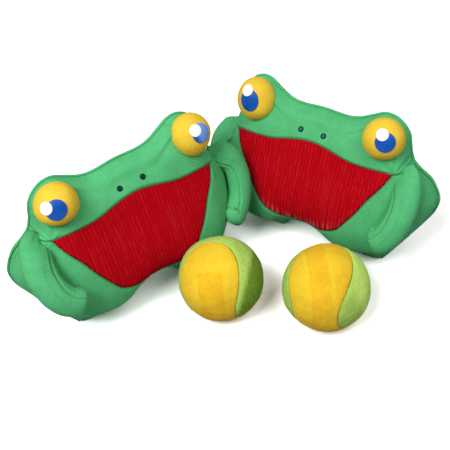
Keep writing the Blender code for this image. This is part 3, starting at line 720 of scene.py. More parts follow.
@dataclass(frozen=True)
class WebbingFinish:
    """Woven elastic band, as on the hand strap."""

    slot: str = "strap_green"
    light: Colour = (0.050, 0.300, 0.120)
    deep: Colour = (0.022, 0.170, 0.065)
    rib_pitch: float = 0.0016
    surface: Surface = Surface(0.0003, 0.8, None, 0.15)

    def material(self, name: str) -> None:
        """Make the finish, which reads the mark "stitch"."""
        bench, shader = open_material(name)
        fibre = bench.group("fibre", Vector=bench.place(), Light=self.light, Deep=self.deep,
                            Patch=120.0, Grain=1800.0)
        split = bench.split(bench.cloth())
        across, along = (
            bench.math("SINE", bench.math("MULTIPLY", split.outputs[axis], 2 * math.pi / pitch))
            for axis, pitch in (("X", self.rib_pitch), ("Y", 1.6 * self.rib_pitch)))
        weave = bench.math("MULTIPLY_ADD", bench.math("MULTIPLY", across, along), 0.5, 0.5)
        tint = bench.mix(bench.math("MULTIPLY", weave, 0.6), fibre.outputs["Color"], self.deep)
        self.surface.lay(bench, shader, bench.shaded(tint, "stitch", 0.0009, 0.6), weave,
                         bench.span(fibre.outputs["Height"], 0.2, 0.8, 0.9, 0.75))


# The mitts


@dataclass(frozen=True)
class MittPattern:
    """Cut and stuffing of a mitt, drawn upright with its front along -Y."""

    heart_z: float = 0.07196
    crown_z: float = 0.1283
    tall: float = 0.1425
    hump_x: float = 0.0575
    hump_top: float = 0.1397
    hump_radius: float = 0.0188
    neck_half: float = 0.077
    neck_z: float = 0.113
    thigh_half: float = 0.1040
    thigh_z: float = 0.06698
    foot_outer: float = 0.069
    foot_inner: float = 0.031
    arch_z: float = 0.024
    sole_cut: float = 0.004
    seam_y0: float = 0.002
    lean: float = 0.085
    thigh_sweep: float = 0.010
    brow_depth: float = 0.0155
    belly_bulge: float = 0.0215
    belly_z: float = 0.046
    belly_spread: float = 0.057
    back_depth: float = 0.0135
    back_round: float = 2.8
    head_thinning: float = 0.35
    cheek_fullness: float = 14.0
    cheek_spread: float = 0.014
    mouth_half: float = 0.073
    corner_z: float = 0.1005
    lip_rise: float = 0.009
    jaw_half: float = 0.043
    jaw_z: float = 0.05301
    mouth_floor_z: float = 0.035
    slump_z: float = 0.10004
    eye_radius: float = 0.0167
    eye_x: float = 0.0595
    eye_y: float = -0.0020
    eye_z: float = 0.1275
    iris_radius: float = 0.0078
    iris_proud: float = 0.0007
    glint_radius: float = 0.0047
    glint_proud: float = 0.0011
    nostril_x: float = 0.0105
    nostril_z: float = 0.1160
    nostril_radius: float = 0.0018
    nostril_thread: float = 0.00062
    cell: float = 0.00075
    taut: float = 0.0078

    def half_outline(self) -> Points:
        """Return the right half of the outline, from the crown down to the arch."""
        hump, top, radius = self.hump_x, self.hump_top, self.hump_radius
        thigh, foot, inner = self.thigh_half, self.foot_outer, self.foot_inner
        neck, run, level = self.neck_half, self.neck_z - self.thigh_z, self.thigh_z
        brow = [(0.0, 0.0), (0.35, -0.001), (0.56, 0.001)]
        humps = [(-0.75, 0.26), (-0.25, 0.02), (0.20, 0.02), (0.60, 0.24), (0.90, 0.66),
                 (1.0, 1.15)]
        sides = [(neck, 1.0), (neck + 0.003, 0.78), (neck + 0.009, 0.61), (thigh - 0.008, 0.41),
                 (thigh - 0.0015, 0.17), (thigh, 0.0)]
        lobes = [(thigh - 0.0025, 0.85), (thigh - 0.009, 0.67), (thigh - 0.018, 0.45),
                 (foot + 0.008, 0.24), (foot, 0.06)]
        return (
            [(hump * u, self.crown_z + v) for u, v in brow]
            + [(hump + u * radius, top - v * radius) for u, v in humps]
            + [(x, level + v * run) for x, v in sides]
            + [(x, v * level) for x, v in lobes]
            + [(foot - 0.008, -self.sole_cut), (inner + 0.006, -self.sole_cut),
               (inner, 0.03 * level), (0.66 * inner, 0.70 * self.arch_z),
               (0.33 * inner, 0.97 * self.arch_z), (0.0, self.arch_z)]
        )

    @lru_cache(maxsize=2)
    def outline(self) -> np.ndarray:
        """Return the whole smooth outline, clockwise from the crown."""
        half = self.half_outline()
        return smooth_line(half + [(-x, z) for x, z in reversed(half[1:-1])], 10, closed=True)

    def scale_at(self, x: np.ndarray, z: np.ndarray) -> np.ndarray:
        """Return how far out a point lies, from 0 at the heart to 1 on the outline."""
        ring = self.outline()
        angles = np.arctan2(ring[:, 0], ring[:, 1] - self.heart_z)
        radii = np.hypot(ring[:, 0], ring[:, 1] - self.heart_z)
        order = np.argsort(angles)
        here = np.arctan2(x, z - self.heart_z)
        reach = np.interp(here, angles[order], radii[order], period=2 * math.pi)
        return np.minimum(np.hypot(x, z - self.heart_z) / reach, 1.0)

    def front_swell(self, x: np.ndarray, z: np.ndarray) -> np.ndarray:
        """Return the stuffed share of the front, from 0 at the outline to 1 within."""
        level = z / self.tall
        cheek = self.cheek_fullness * bell(z - self.corner_z, self.cheek_spread)
        power = 4.5 + 3.5 * ease((0.42 - level) / 0.175) + 4.5 * ease((level - 0.526) / 0.245)
        scale = self.scale_at(x, z)
        return np.sqrt(np.maximum(0.0, 1.0 - scale ** (power + cheek)))

    def back_swell(self, x: np.ndarray, z: np.ndarray) -> np.ndarray:
        """Return the stuffed share of the back, thinner up in the head."""
        rise = ease((z - self.corner_z) / (self.eye_z - self.corner_z))
        round_off = np.sqrt(np.maximum(0.0, 1.0 - self.scale_at(x, z) ** self.back_round))
        return (1.0 - self.head_thinning * rise) * round_off

    @lru_cache(maxsize=2)
    def soft_map(self, front: bool) -> np.ndarray:
        """Return the share of stuffing over a flat grid, smoothed as taut cloth smooths it."""
        x, z = np.meshgrid(np.arange(-0.135, 0.135, self.cell), np.arange(0.0, 0.180, self.cell),
                           indexing="ij")
        share = self.front_swell(x, z) if front else self.back_swell(x, z)
        reach = np.arange(-3.0 * self.taut, 3.0 * self.taut + self.cell, self.cell)
        weight = np.exp(-0.5 * (reach / self.taut) ** 2)
        weight /= weight.sum()
        for axis in (0, 1):
            share = np.apply_along_axis(np.convolve, axis, share, weight, mode="same")
        return share

    def swell(self, x: np.ndarray, z: np.ndarray, front: bool) -> np.ndarray:
        """Return the share of stuffing at points, exact at the rim and smooth within."""
        plain = self.front_swell(x, z) if front else self.back_swell(x, z)
        table = self.soft_map(front)
        u = np.clip((x + 0.135) / self.cell, 0, table.shape[0] - 1.001)
        v = np.clip(z / self.cell, 0, table.shape[1] - 1.001)
        i, j = u.astype(int), v.astype(int)
        u, v = u - i, v - j
        soft = ((1 - u) * (1 - v) * table[i, j] + u * (1 - v) * table[i + 1, j]
                + (1 - u) * v * table[i, j + 1] + u * v * table[i + 1, j + 1])
        share = ease((1.0 - self.scale_at(x, z)) / 0.19) * ease((z - 0.004) / 0.020)
        return plain * (1.0 - share) + soft * share

    def seam_y(self, x: np.ndarray, z: np.ndarray) -> np.ndarray:
        """Return the depth of the seam sheet between front and back."""
        sweep = ease((np.abs(x) - 0.6 * self.thigh_half) / (0.4 * self.thigh_half))
        return self.seam_y0 + self.lean * z + self.thigh_sweep * sweep

    def front_y(self, x: np.ndarray, z: np.ndarray, layer: float = 0.0) -> np.ndarray:
        """Return the depth of the front surface, with a layer laid on it."""
        bulge = self.belly_bulge * bell(z - self.belly_z, self.belly_spread)
        depth = (self.brow_depth + bulge) * (0.22 + 0.78 * ease((z + 0.002) / 0.030)) + layer
        return self.seam_y(x, z) - depth * self.swell(np.asarray(x), np.asarray(z), True)

    def back_y(self, x: np.ndarray, z: np.ndarray) -> np.ndarray:
        """Return the depth of the back surface."""
        return self.seam_y(x, z) + self.back_depth * self.swell(np.asarray(x), np.asarray(z), False)

    def lip_line(self) -> np.ndarray:
        """Return the upper lip from the left corner to the right one."""
        shape = ((1.0, 0.0), (0.89, 0.20), (0.77, 0.25), (0.64, 0.26), (0.53, 0.30),
                 (0.43, 0.42), (0.34, 0.58), (0.25, 0.74), (0.17, 0.87), (0.08, 0.97))
        right = [(self.mouth_half * u, self.corner_z + self.lip_rise * v) for u, v in shape]
        line = [(-x, z) for x, z in right] + [(0.0, self.corner_z + self.lip_rise)] + right[::-1]
        return smooth_line(np.array(line), 8)

    def jaw_line(self) -> np.ndarray:
        """Return the mouth's lower edge from the left corner to the right one."""
        drop, depth = self.corner_z - self.jaw_z, self.jaw_z - self.mouth_floor_z
        sides = ((1.0, 1.0), (0.93, 0.80), (0.80, 0.52), (0.70, 0.25))
        floor = ((1.0, 0.0), (0.84, 0.50), (0.62, 0.78), (0.34, 0.95))
        half = [(u * self.mouth_half, self.jaw_z + v * drop) for u, v in sides]
        half += [(u * self.jaw_half, self.jaw_z - v * depth) for u, v in floor]
        line = [(-x, z) for x, z in half] + [(0.0, self.mouth_floor_z)] + half[::-1]
        return smooth_line(np.array(line), 8)

    def shoulder_split(self) -> tuple[np.ndarray, np.ndarray]:
        """Return the outline above the shoulders and the one below them, both left to right."""
        ring = self.outline()
        half = len(ring) // 2
        right = ring[: half + 1]
        level = int(np.argmin(np.where(right[:, 0] > 0.5 * self.neck_half,
                                       np.abs(right[:, 1] - self.corner_z), 1.0)))
        upper = np.vstack([ring[len(ring) - level :], ring[: level + 1]])
        lower = ring[level : len(ring) - level + 1][::-1]
        return upper, lower


@dataclass(frozen=True)
class Gaze:
    """Where an eye's iris and glint lie, in degrees to the right of the front and up."""

    turn: float
    height: float
    glint_turn: float
    glint_height: float


@dataclass
class Mitt:
    """One stuffed mitt at its place: panels, stuffing, arms, eyes, nostrils and strap."""

    name: str
    x: float
    y: float
    turn: float
    slump: float
    gazes: dict[Side, Gaze]
    arm_poses: dict[Side, ArmPose]
    seed: float
    eye_shifts: dict[Side, float]
    pattern: MittPattern = field(default_factory=MittPattern)
    fabric: float = 0.0015
    brow_layer: float = 0.0015
    seam_dip: float = 0.0006
    seam_reach: float = 0.0024
    seam_lap: float = 0.0005
    pucker: float = 0.0004
    lump: float = 0.0005
    perk: float = 0.0
    worn_jaw: float = 0.0
    teal_nostrils: float = 0.0
    # Iris that carries a painted reflection, paler towards the way given next
    painted_reflection_patch: str = ""
    rub_way: tuple[float, float, float] = (0.80, 0.10, 0.25)
    arm_wide: float = 0.0112
    arm_deep: float = 0.0092
    columns: int = 420
    rows: int = 70

    def placed(self, points: np.ndarray) -> np.ndarray:
        """Return points of the upright mitt at the place where it stands."""
        rows = np.array(points, float)
        cut = self.pattern
        rise = ease((rows[..., 2] - cut.slump_z) / (cut.eye_z - cut.slump_z))
        rows[..., 2] += self.slump * rows[..., 0] * rise
        beside = bell(rows[..., 0] + cut.hump_x, 0.020)
        rows[..., 2] += self.perk * beside * ease((rows[..., 2] - 0.128) / 0.014)
        angle = math.radians(self.turn)
        x, y = rows[..., 0].copy(), rows[..., 1].copy()
        rows[..., 0] = self.x + x * math.cos(angle) - y * math.sin(angle)
        rows[..., 1] = self.y + x * math.sin(angle) + y * math.cos(angle)
        return rows

    def panel(
        self,
        label: str,
        inner: np.ndarray,
        outer: np.ndarray,
        layer: float,
        inner_dip: float,
        hemmed: bool,
    ) -> None:
        """Make a stuffed front panel between two lines of the flat pattern.

        Args:
            label: the piece's name without the mitt's.
            inner: line of flat points, left to right.
            outer: line of flat points, left to right, on the outline.
            layer: how far it stands proud of the front.
            inner_dip: how far its inner edge sinks at the seam.
            hemmed: whether a line of stitches runs inside its outer edge.
        """
        near = even_line(inner, self.columns)
        far = even_line(outer, self.columns)
        share = 1.0 - (1.0 - np.linspace(0.0, 1.0, 260)) ** 3
        flat = near[None] + (far - near)[None] * share[:, None, None]
        x, z = flat[..., 0], flat[..., 1]
        grid, to_inner = self.even_grid(np.stack([x, self.pattern.front_y(x, z, layer), z], -1))
        to_outer = to_inner[-1] - to_inner
        normal = grid_normals(grid)
        if normal[self.rows // 2, self.columns // 2, 1] > 0:
            normal = -normal
        rim = np.gradient(grid[-1][:, [0, 2]], axis=0)
        normal = self.turned_out(grid, normal, rim, to_outer)
        puff = self.dents(grid.reshape(-1, 3)).reshape(grid.shape[:2])
        lift = puff * ease(np.minimum(to_inner, to_outer) / 0.010)
        lift += self.corner_puckers(grid) * ease(np.minimum(to_inner, to_outer) / 0.003)
        lift -= inner_dip * fall(to_inner, self.seam_reach)
        lift -= (self.seam_dip if hemmed else 0.0001) * fall(to_outer, self.seam_reach)
        grid = self.lapped(grid + normal * lift[..., None], to_outer, 1.0)
        seam = np.minimum(to_inner, 0.0008 + 1.6 * to_outer) if hemmed else to_inner
        hem = np.abs(to_inner - 0.0018) + 0.0004
        stitch = np.minimum(np.abs(to_outer - 0.0046), hem) if hemmed else hem
        if grid_normals(grid)[self.rows // 2, self.columns // 2, 1] >= 0:
            grid, seam, stitch = grid[:, ::-1], seam[:, ::-1], stitch[:, ::-1]
        self.sew(label, "green_knit", grid, grid[..., [0, 2]],
                 {"seam": seam, "stitch": stitch}, self.fabric)

    def even_grid(self, dense: np.ndarray) -> tuple[np.ndarray, np.ndarray]:
        """Return a loft with evenly spread rows, and how far each point is from its first row."""
        grid = np.stack([even_line(dense[:, k], self.rows) for k in range(self.columns)], 1)
        step = np.linalg.norm(np.diff(grid, axis=0), axis=2)
        return grid, np.vstack([np.zeros(self.columns), np.cumsum(step, axis=0)])

    def turned_out(self, grid: np.ndarray, normal: np.ndarray, rim: np.ndarray,
                   to_outer: np.ndarray) -> np.ndarray:
        """Return a panel's normals, turned out from the middle of the mitt at its rim.

        Args:
            grid: the panel's points, with the outline as the last row.
            normal: their normals.
            rim: way of the outline at each point of it, in X and Z.
            to_outer: how far each point is from the outline.
        """
        away = np.stack([-rim[:, 1], np.zeros(self.columns), rim[:, 0]], -1)
        away /= np.linalg.norm(away, axis=1)[:, None]
        outside = np.sum(away * (grid[-1] - [0.0, 0.0, self.pattern.heart_z]), axis=1)
        away *= np.sign(outside)[:, None]
        turn = fall(to_outer, RIM_TURN)[..., None]
        normal = normal * (1.0 - turn) + away[None] * turn
        return normal / np.linalg.norm(normal, axis=2, keepdims=True)

    def lapped(self, grid: np.ndarray, to_outer: np.ndarray, way: float) -> np.ndarray:
        """Return a panel whose rim laps over the seam (1 to the back, -1 to the front)."""
        grid[..., 1] += way * self.seam_lap * fall(to_outer, 0.0016)
        grid[..., 2] = 0.5 * (grid[..., 2] + np.sqrt(grid[..., 2] ** 2 + 0.0012**2))
        return grid

    def sew(self, label: str, slot: str, grid: np.ndarray, uv: np.ndarray,
            marks: dict[str, np.ndarray], thickness: float, closed: bool = False) -> None:
        """Make a sheet of the mitt at the mitt's place.

        Args:
            label: the piece's name without the mitt's.
            slot: its material slot.
            grid: points of the upright mitt, rows by columns by 3.
            uv: flat place of each point.
            marks: named values at each point.
            thickness: fabric thickness, or 0 for a grid that closes itself.
            closed: whether the last column joins the first.
        """
        piece = sewn_sheet(f"{self.name}_{label}", self.placed(grid), uv, marks, thickness, closed)
        if closed:
            outward(piece)
        declare(piece, f"{self.name}_{label}", slot)

    def dents(self, places: np.ndarray) -> np.ndarray:
        """Return the soft unevenness of the stuffing at places, as heights."""
        broad = lumps(places, 0.030, self.seed)
        return self.lump * (broad + 0.4 * lumps(places, 0.011, self.seed + 5))

    def corner_puckers(self, grid: np.ndarray) -> np.ndarray:
        """Return the small gathers that run out from both mouth corners, as heights."""
        cut = self.pattern
        across = np.abs(grid[..., 0]) - cut.mouth_half - 0.001
        up = grid[..., 2] - cut.corner_z
        reach = np.hypot(across, up)
        rays = np.sin(9.0 * np.arctan2(up, across) + self.seed)
        return self.pucker * rays * bell(reach - 0.0085, 0.0055)

    def build(self) -> None:
        """Make every piece of the mitt."""
        cut = self.pattern
        upper, lower = cut.shoulder_split()
        lip, jaw = cut.lip_line(), cut.jaw_line()
        left, right = upper[:1], upper[-1:]
        self.panel("head_panel", np.vstack([left, lip, right]), upper, self.brow_layer, 0.0012,
                   False)
        self.panel("belly_panel", np.vstack([left, jaw, right]), lower, 0.0, 0.0008, True)
        self.mouth(lip, jaw)
        self.back()
        self.stuffing()
        for side in Side:
            self.arm(side)
            self.eye(side)
            self.nostril(side)
        self.strap()

    def mouth(self, lip: np.ndarray, jaw: np.ndarray) -> None:
        """Make the ribbed loop panel between the lip and the jaw."""
        cut = self.pattern
        count, rows = 560, 72
        x = np.linspace(-1.0, 1.0, count)
        x = cut.mouth_half * np.sign(x) * (1.0 - (1.0 - np.abs(x)) ** 1.15)
        top = np.interp(x, lip[:, 0], lip[:, 1]) + 0.0012
        low = np.interp(x, jaw[:, 0], jaw[:, 1])
        scallop = 0.00050 * np.sin(2 * math.pi * x / 0.0024) + 0.00025 * np.sin(
            2 * math.pi * x / 0.0059 + self.seed)
        low = np.minimum(low + scallop * ease((top - low) / 0.010), top - 0.0006)
        share = np.linspace(0.0, 1.0, rows)[:, None]
        z = top[None] * (1 - share) + low[None] * share
        xs = np.repeat(x[None], rows, 0)
        y = cut.front_y(xs, z)
        above_jaw, under_lip = z - low[None], top[None] - z
        edge = np.minimum(above_jaw, under_lip)
        rib = 0.00005 * np.sin(2 * math.pi * xs / 0.0038)
        puff = 0.8 * self.lump * lumps(np.stack([xs, y, z], -1).reshape(-1, 3), 0.034,
                                       self.seed + 9).reshape(xs.shape)
        y = y - (puff + rib) * ease(edge / 0.006)
        y = y + 0.0008 * fall(above_jaw, 0.0030)
        y = y + 0.0004 * fall(under_lip, 0.0030)
        grid = np.stack([xs, y, z], -1)
        rub = self.worn_jaw * fall(above_jaw, 0.012) * np.exp(-((xs / 0.034) ** 4))
        if grid_normals(grid)[rows // 2, count // 2, 1] > 0:
            grid, edge, rub = grid[:, ::-1], edge[:, ::-1], rub[:, ::-1]
        self.sew("mouth_pad", "red_loop", grid, grid[..., [0, 2]],
                 {"seam": edge, "rub": rub}, self.fabric)

    def back(self) -> None:
        """Make the back panel, lofted from its middle to the outline."""
        cut = self.pattern
        ring = even_line(np.vstack([cut.outline(), cut.outline()[:1]]), self.columns + 1)[:-1]
        share = np.concatenate([[0.01], np.linspace(0.03, 1.0, 240)])
        share = 1.0 - (1.0 - share) ** 2.0
        heart = np.array([0.0, cut.heart_z])
        flat = heart + (ring - heart)[None] * share[:, None, None]
        x, z = flat[..., 0], flat[..., 1]
        grid, along = self.even_grid(np.stack([x, cut.back_y(x, z), z], -1))
        to_outer = along[-1] - along
        normal = grid_normals(grid)
        normal *= np.sign(normal[3, 0, 1])
        rim = np.roll(ring, -1, axis=0) - np.roll(ring, 1, axis=0)
        normal = self.turned_out(grid, normal, rim, to_outer)
        puff = lumps(grid.reshape(-1, 3), 0.032, self.seed + 3).reshape(grid.shape[:2])
        lift = 1.3 * self.lump * puff * ease(to_outer / 0.010)
        low = ease((cut.corner_z - grid[..., 2]) / 0.012 + 0.5)
        lift -= (0.0001 + (self.seam_dip - 0.0001) * low) * fall(to_outer, self.seam_reach)
        grid = self.lapped(grid + normal * lift[..., None], to_outer, -1.0)
        far = 0.01 * (1.0 - low)
        marks = {"seam": 0.0008 + 1.6 * to_outer + far,
                 "stitch": np.abs(to_outer - 0.0048) + 0.0004 + far}
        marks = {key: np.vstack([value[:1], value]) for key, value in marks.items()}
        hub = np.repeat(grid[:1].mean(axis=1, keepdims=True), self.columns, 1)
        grid = np.concatenate([hub, grid], 0)
        self.sew("back_panel", "green_knit", grid, grid[..., [0, 2]], marks, self.fabric,
                 closed=True)

    def stuffing(self) -> None:
        """Make the fibre filling inside the panels."""
        cut = self.pattern
        ring = even_line(np.vstack([cut.outline(), cut.outline()[:1]]), 121)[:-1]
        heart = np.array([0.0, cut.heart_z])
        layers, skin = [], 0.0032
        shares = np.concatenate([np.linspace(0.03, 0.955, 16), np.linspace(0.95, 0.03, 14)])
        for k, share in enumerate(shares):
            flat = heart + (ring - heart) * share
            x, z = flat[:, 0], np.maximum(flat[:, 1], 0.0030)
            front = np.minimum(cut.front_y(x, z) + skin, cut.seam_y(x, z) - 0.0002)
            rear = np.maximum(cut.back_y(x, z) - skin, cut.seam_y(x, z) + 0.0002)
            layers.append(np.stack([x, front if k < 16 else rear, z], -1))
        mesh = bpy.data.meshes.new(f"{self.name}_stuffing")
        work = bmesh.new()
        verts = [[work.verts.new(p) for p in row] for row in self.placed(layers)]
        for inner, outer in zip(verts, verts[1:]):
            for k in range(len(inner)):
                n = (k + 1) % len(inner)
                work.faces.new((inner[k], inner[n], outer[n], outer[k]))
        work.faces.new(verts[0])
        work.faces.new(verts[-1])
        bmesh.ops.recalc_face_normals(work, faces=work.faces)
        work.to_mesh(mesh)
        work.free()
        mesh.shade_smooth()
        piece = into_scene(mesh.name, mesh)
        declare(piece, f"{self.name}_padding", "stuffing_white")

    def arm_route(self, side: Side) -> np.ndarray:
        """Return the middle line of an arm, from its sewn shoulder to the hand."""
        route = ARM_ROUTES[self.arm_poses[side]]
        line = np.array([(side.value * x, y, z) for x, y, z in route])
        return even_line(smooth_line(line, 16), 120)

    def arm(self, side: Side) -> None:
        """Make a stuffed arm, sewn flat at the shoulder, with a seam along its inner side."""
        around, blunt, tip_gap = 80, 0.0095, 0.0050
        line = self.arm_route(side)
        along = np.concatenate([[0.0], np.cumsum(np.linalg.norm(np.diff(line, axis=0), axis=1))])
        rest = along[-1] + tip_gap - along
        end = (1.0 - (1.0 - np.clip(rest / blunt, 0.0, 1.0)) ** 2.2) ** (1.0 / 2.2)
        spread = ARM_SPREADS[self.arm_poses[side]]
        wide = (spread + 0.0012 * fall(along, 0.030)) * end
        start = 0.75 if self.arm_poses[side] in (ArmPose.RAISED, ArmPose.BENT) else 0.45
        wide *= start + (1.0 - start) * ease(along / 0.012)
        deep = (self.arm_deep - 0.0062 * (1.0 - ease((along - 0.003) / 0.017))) * end**0.8
        tangent = np.gradient(line, axis=0)
        tangent /= np.linalg.norm(tangent, axis=1)[:, None]
        ahead = np.array([0.0, -1.0, 0.0])
        turn = np.arange(around) / around * 2 * math.pi
        seam_at = math.radians(40.0) * side.value
        gap = np.abs((turn - seam_at + math.pi) % (2 * math.pi) - math.pi) * self.arm_wide
        rings = []
        for k, way in enumerate(tangent):
            facing = ahead - way * float(ahead @ way)
            facing /= np.linalg.norm(facing)
            across = np.cross(way, facing)
            sewn = float(ease(rest[k] / 0.016))
            fold = 0.0006 * bell(gap, 0.0011) * sewn
            ridge = 0.0003 * bell(gap - 0.0024, 0.0013) * sewn
            ring = line[k] + np.outer(np.cos(turn) * (deep[k] - fold + ridge), facing)
            rings.append(ring + np.outer(np.sin(turn) * (wide[k] - fold + ridge), across))
        grid = np.array(rings)
        puff = 0.0006 * lumps(grid.reshape(-1, 3), 0.015, self.seed + side.value * 2.3).reshape(
            grid.shape[:2])
        gathers = 0.0002 * np.cos(turn * 9.0)[None] * bell(along - 0.006, 0.005)[:, None]
        outwards = grid - line[:, None]
        outwards /= np.maximum(np.linalg.norm(outwards, axis=2, keepdims=True), 1e-9)
        grid = grid + outwards * ((puff + gathers) * ease(rest / 0.010)[:, None])[..., None]
        tip = line[-1] + tangent[-1] * tip_gap
        grid = np.concatenate([np.repeat(line[:1][None], around, 1), grid,
                               np.repeat(tip[None, None], around, 1)], 0)
        down = np.concatenate([along[:1], along, along[-1:]])[:, None] + 0.0 * gap
        seam = gap + 0.0 * down
        self.sew(f"{side.name.lower()}_arm", "green_knit", grid,
                 np.stack([turn * self.arm_wide + 0.0 * down, down], -1),
                 {"seam": down, "stitch": seam}, 0.0012, closed=True)

    def eye(self, side: Side) -> None:
        """Make a padded eye dome, tucked in where it meets the head, with its two patches."""
        cut = self.pattern
        label = side.name.lower()
        centre = Vector((side.value * cut.eye_x + self.eye_shifts[side], cut.eye_y, cut.eye_z))
        middle = np.array(centre)
        around, rows = 144, 60
        spin = np.arange(around) / around * 2 * math.pi
        tilt = np.radians(np.arange(20.0, 170.0, 1.0))[:, None]
        sunk = self.dome_depth(middle, tilt, spin[None]) < 0.0
        first = np.where(sunk.any(axis=0), sunk.argmax(axis=0), len(tilt) - 1)
        high = tilt[first, 0]
        low = tilt[np.maximum(first - 1, 0), 0]
        for _ in range(24):
            half = 0.5 * (low + high)
            under = self.dome_depth(middle, half[None], spin[None])[0] < 0.0
            high, low = np.where(under, half, high), np.where(under, low, half)
        share = np.linspace(0.0, 1.0, rows)[:, None]
        angle = share * high[None]
        tuck = np.exp(-(high[None] - angle) * cut.eye_radius / 0.0011)
        radius = cut.eye_radius - 0.0007 * tuck
        spots = self.dome_spots(middle, angle, spin[None], radius)
        puff = 0.0003 * lumps(spots.reshape(-1, 3), 0.011, self.seed + side.value)
        spots += (spots - middle) / cut.eye_radius * puff.reshape(spots.shape[:2])[..., None]
        seam = (high[None] - angle) * cut.eye_radius
        base = middle + [0.0, 0.004, 0.0]
        inner = [spots[-1] * (1 - k) + base * k for k in (0.08, 0.25, 0.6)]
        grid = np.concatenate([spots, np.array(inner), np.repeat(base[None], around, 0)[None]], 0)
        seam = np.vstack([seam, np.zeros((4, around))])
        self.sew(f"{label}_eye", "eye_yellow", grid, grid[..., [0, 2]], {"seam": seam}, 0.0,
                 closed=True)
        gaze = self.gazes[side]
        self.patch(centre, way_out(gaze.turn, gaze.height), cut.iris_radius, cut.iris_proud,
                   f"{label}_iris", "iris_blue")
        self.patch(centre, way_out(gaze.glint_turn, gaze.glint_height), cut.glint_radius,
                   cut.glint_proud, f"{label}_glint", "glint_white")

    def dome_spots(self, middle: np.ndarray, tilt: np.ndarray, spin: np.ndarray,
                   radius: np.ndarray | float) -> np.ndarray:
        """Return places on a dome at angles from its front and around it."""
        return middle + np.stack([np.sin(tilt) * np.cos(spin), -np.cos(tilt) + 0.0 * spin,
                                  np.sin(tilt) * np.sin(spin)], -1) * np.asarray(radius)[..., None]

    def dome_depth(self, middle: np.ndarray, tilt: np.ndarray, spin: np.ndarray) -> np.ndarray:
        """Return how far in front of the head panel places on a dome lie."""
        cut = self.pattern
        spots = self.dome_spots(middle, tilt, spin, np.full(np.broadcast(tilt, spin).shape,
                                                            cut.eye_radius))
        return cut.front_y(spots[..., 0], spots[..., 2], self.brow_layer) - spots[..., 1]

    def patch(
        self, centre: Vector, way: Vector, radius: float, proud: float, label: str, slot: str
    ) -> None:
        """Make a thin round patch that follows the eye's dome.

        Args:
            centre: the dome's centre.
            way: where the patch lies, as a way from that centre.
            radius: the patch's radius.
            proud: how far its face stands off the dome.
            label: the piece's name without the mitt's.
            slot: its material slot.
        """
        outer = self.pattern.eye_radius + proud
        deselect()
        bpy.ops.mesh.primitive_uv_sphere_add(segments=96, ring_count=180, radius=outer)
        item = bpy.context.object
        item.name = item.data.name = f"{self.name}_{label}"
        bpy.ops.object.mode_set(mode="EDIT")
        bpy.ops.mesh.select_all(action="SELECT")
        level = math.sqrt(outer**2 - radius**2)
        bpy.ops.mesh.bisect(plane_co=(0.0, 0.0, level), plane_no=(0.0, 0.0, 1.0),
                            clear_inner=True, use_fill=False)
        bpy.ops.object.mode_set(mode="OBJECT")
        thicken(item, proud - 0.0001)
        edge = item.modifiers.new("edge", "BEVEL")
        edge.width = 0.00022
        edge.segments = 3
        edge.limit_method = "ANGLE"
        edge.angle_limit = math.radians(40.0)
        apply_all(item)
        item.data.transform(Matrix.Translation(centre) @ way.to_track_quat("Z", "Y").to_matrix()
                            .to_4x4())
        move_points(item, self.placed(mesh_points(item)))
        item.data.shade_smooth()
        # Painted reflection: the chosen iris is paler on the side that faces the right lamp
        if label == self.painted_reflection_patch:
            spots = mesh_points(item)
            away = spots - spots.mean(axis=0)
            side = away @ self.rub_way / radius
            write_mark(item.data, "rub", ease((side + 0.55) / 0.5))
        declare(item, f"{self.name}_{label}", slot)

    def nostril(self, side: Side) -> None:
        """Make a stitched dot with a raised rim of thread."""
        cut = self.pattern
        x, z = side.value * cut.nostril_x, cut.nostril_z
        y = float(cut.front_y(np.array([x]), np.array([z]), self.brow_layer)[0])
        y -= float(self.dents(np.array([[x, y, z]]))[0])
        step = 0.001
        near = [float(cut.front_y(np.array([x + a]), np.array([z + b]), self.brow_layer)[0])
                for a, b in ((-step, 0.0), (step, 0.0), (0.0, -step), (0.0, step))]
        way = Vector(((near[1] - near[0]) / (2 * step), -1.0, (near[3] - near[2]) / (2 * step)))
        spot = Vector((x, y, z)) + way.normalized() * 0.0003
        lay = way.to_track_quat("Z", "Y").to_euler()
        deselect()
        bpy.ops.mesh.primitive_torus_add(
            major_segments=48, minor_segments=14, major_radius=cut.nostril_radius,
            minor_radius=cut.nostril_thread, location=spot, rotation=lay)
        rim = bpy.context.object
        node = f"{self.name}_{side.name.lower()}_nostril"
        rim.name = rim.data.name = node
        settle(rim)
        deselect()
        bpy.ops.mesh.primitive_uv_sphere_add(segments=32, ring_count=16, radius=0.0017,
                                             location=spot, rotation=lay, scale=(1.0, 1.0, 0.35))
        core = bpy.context.object
        settle(core)
        for part, share in ((rim, 0.0), (core, self.teal_nostrils)):
            write_mark(part.data, "core", np.full(len(part.data.vertices), share))
        pick(rim)
        core.select_set(True)
        bpy.ops.object.join()
        move_points(rim, self.placed(mesh_points(rim)))
        rim.data.shade_smooth()
        declare(rim, node, "nostril_dark")

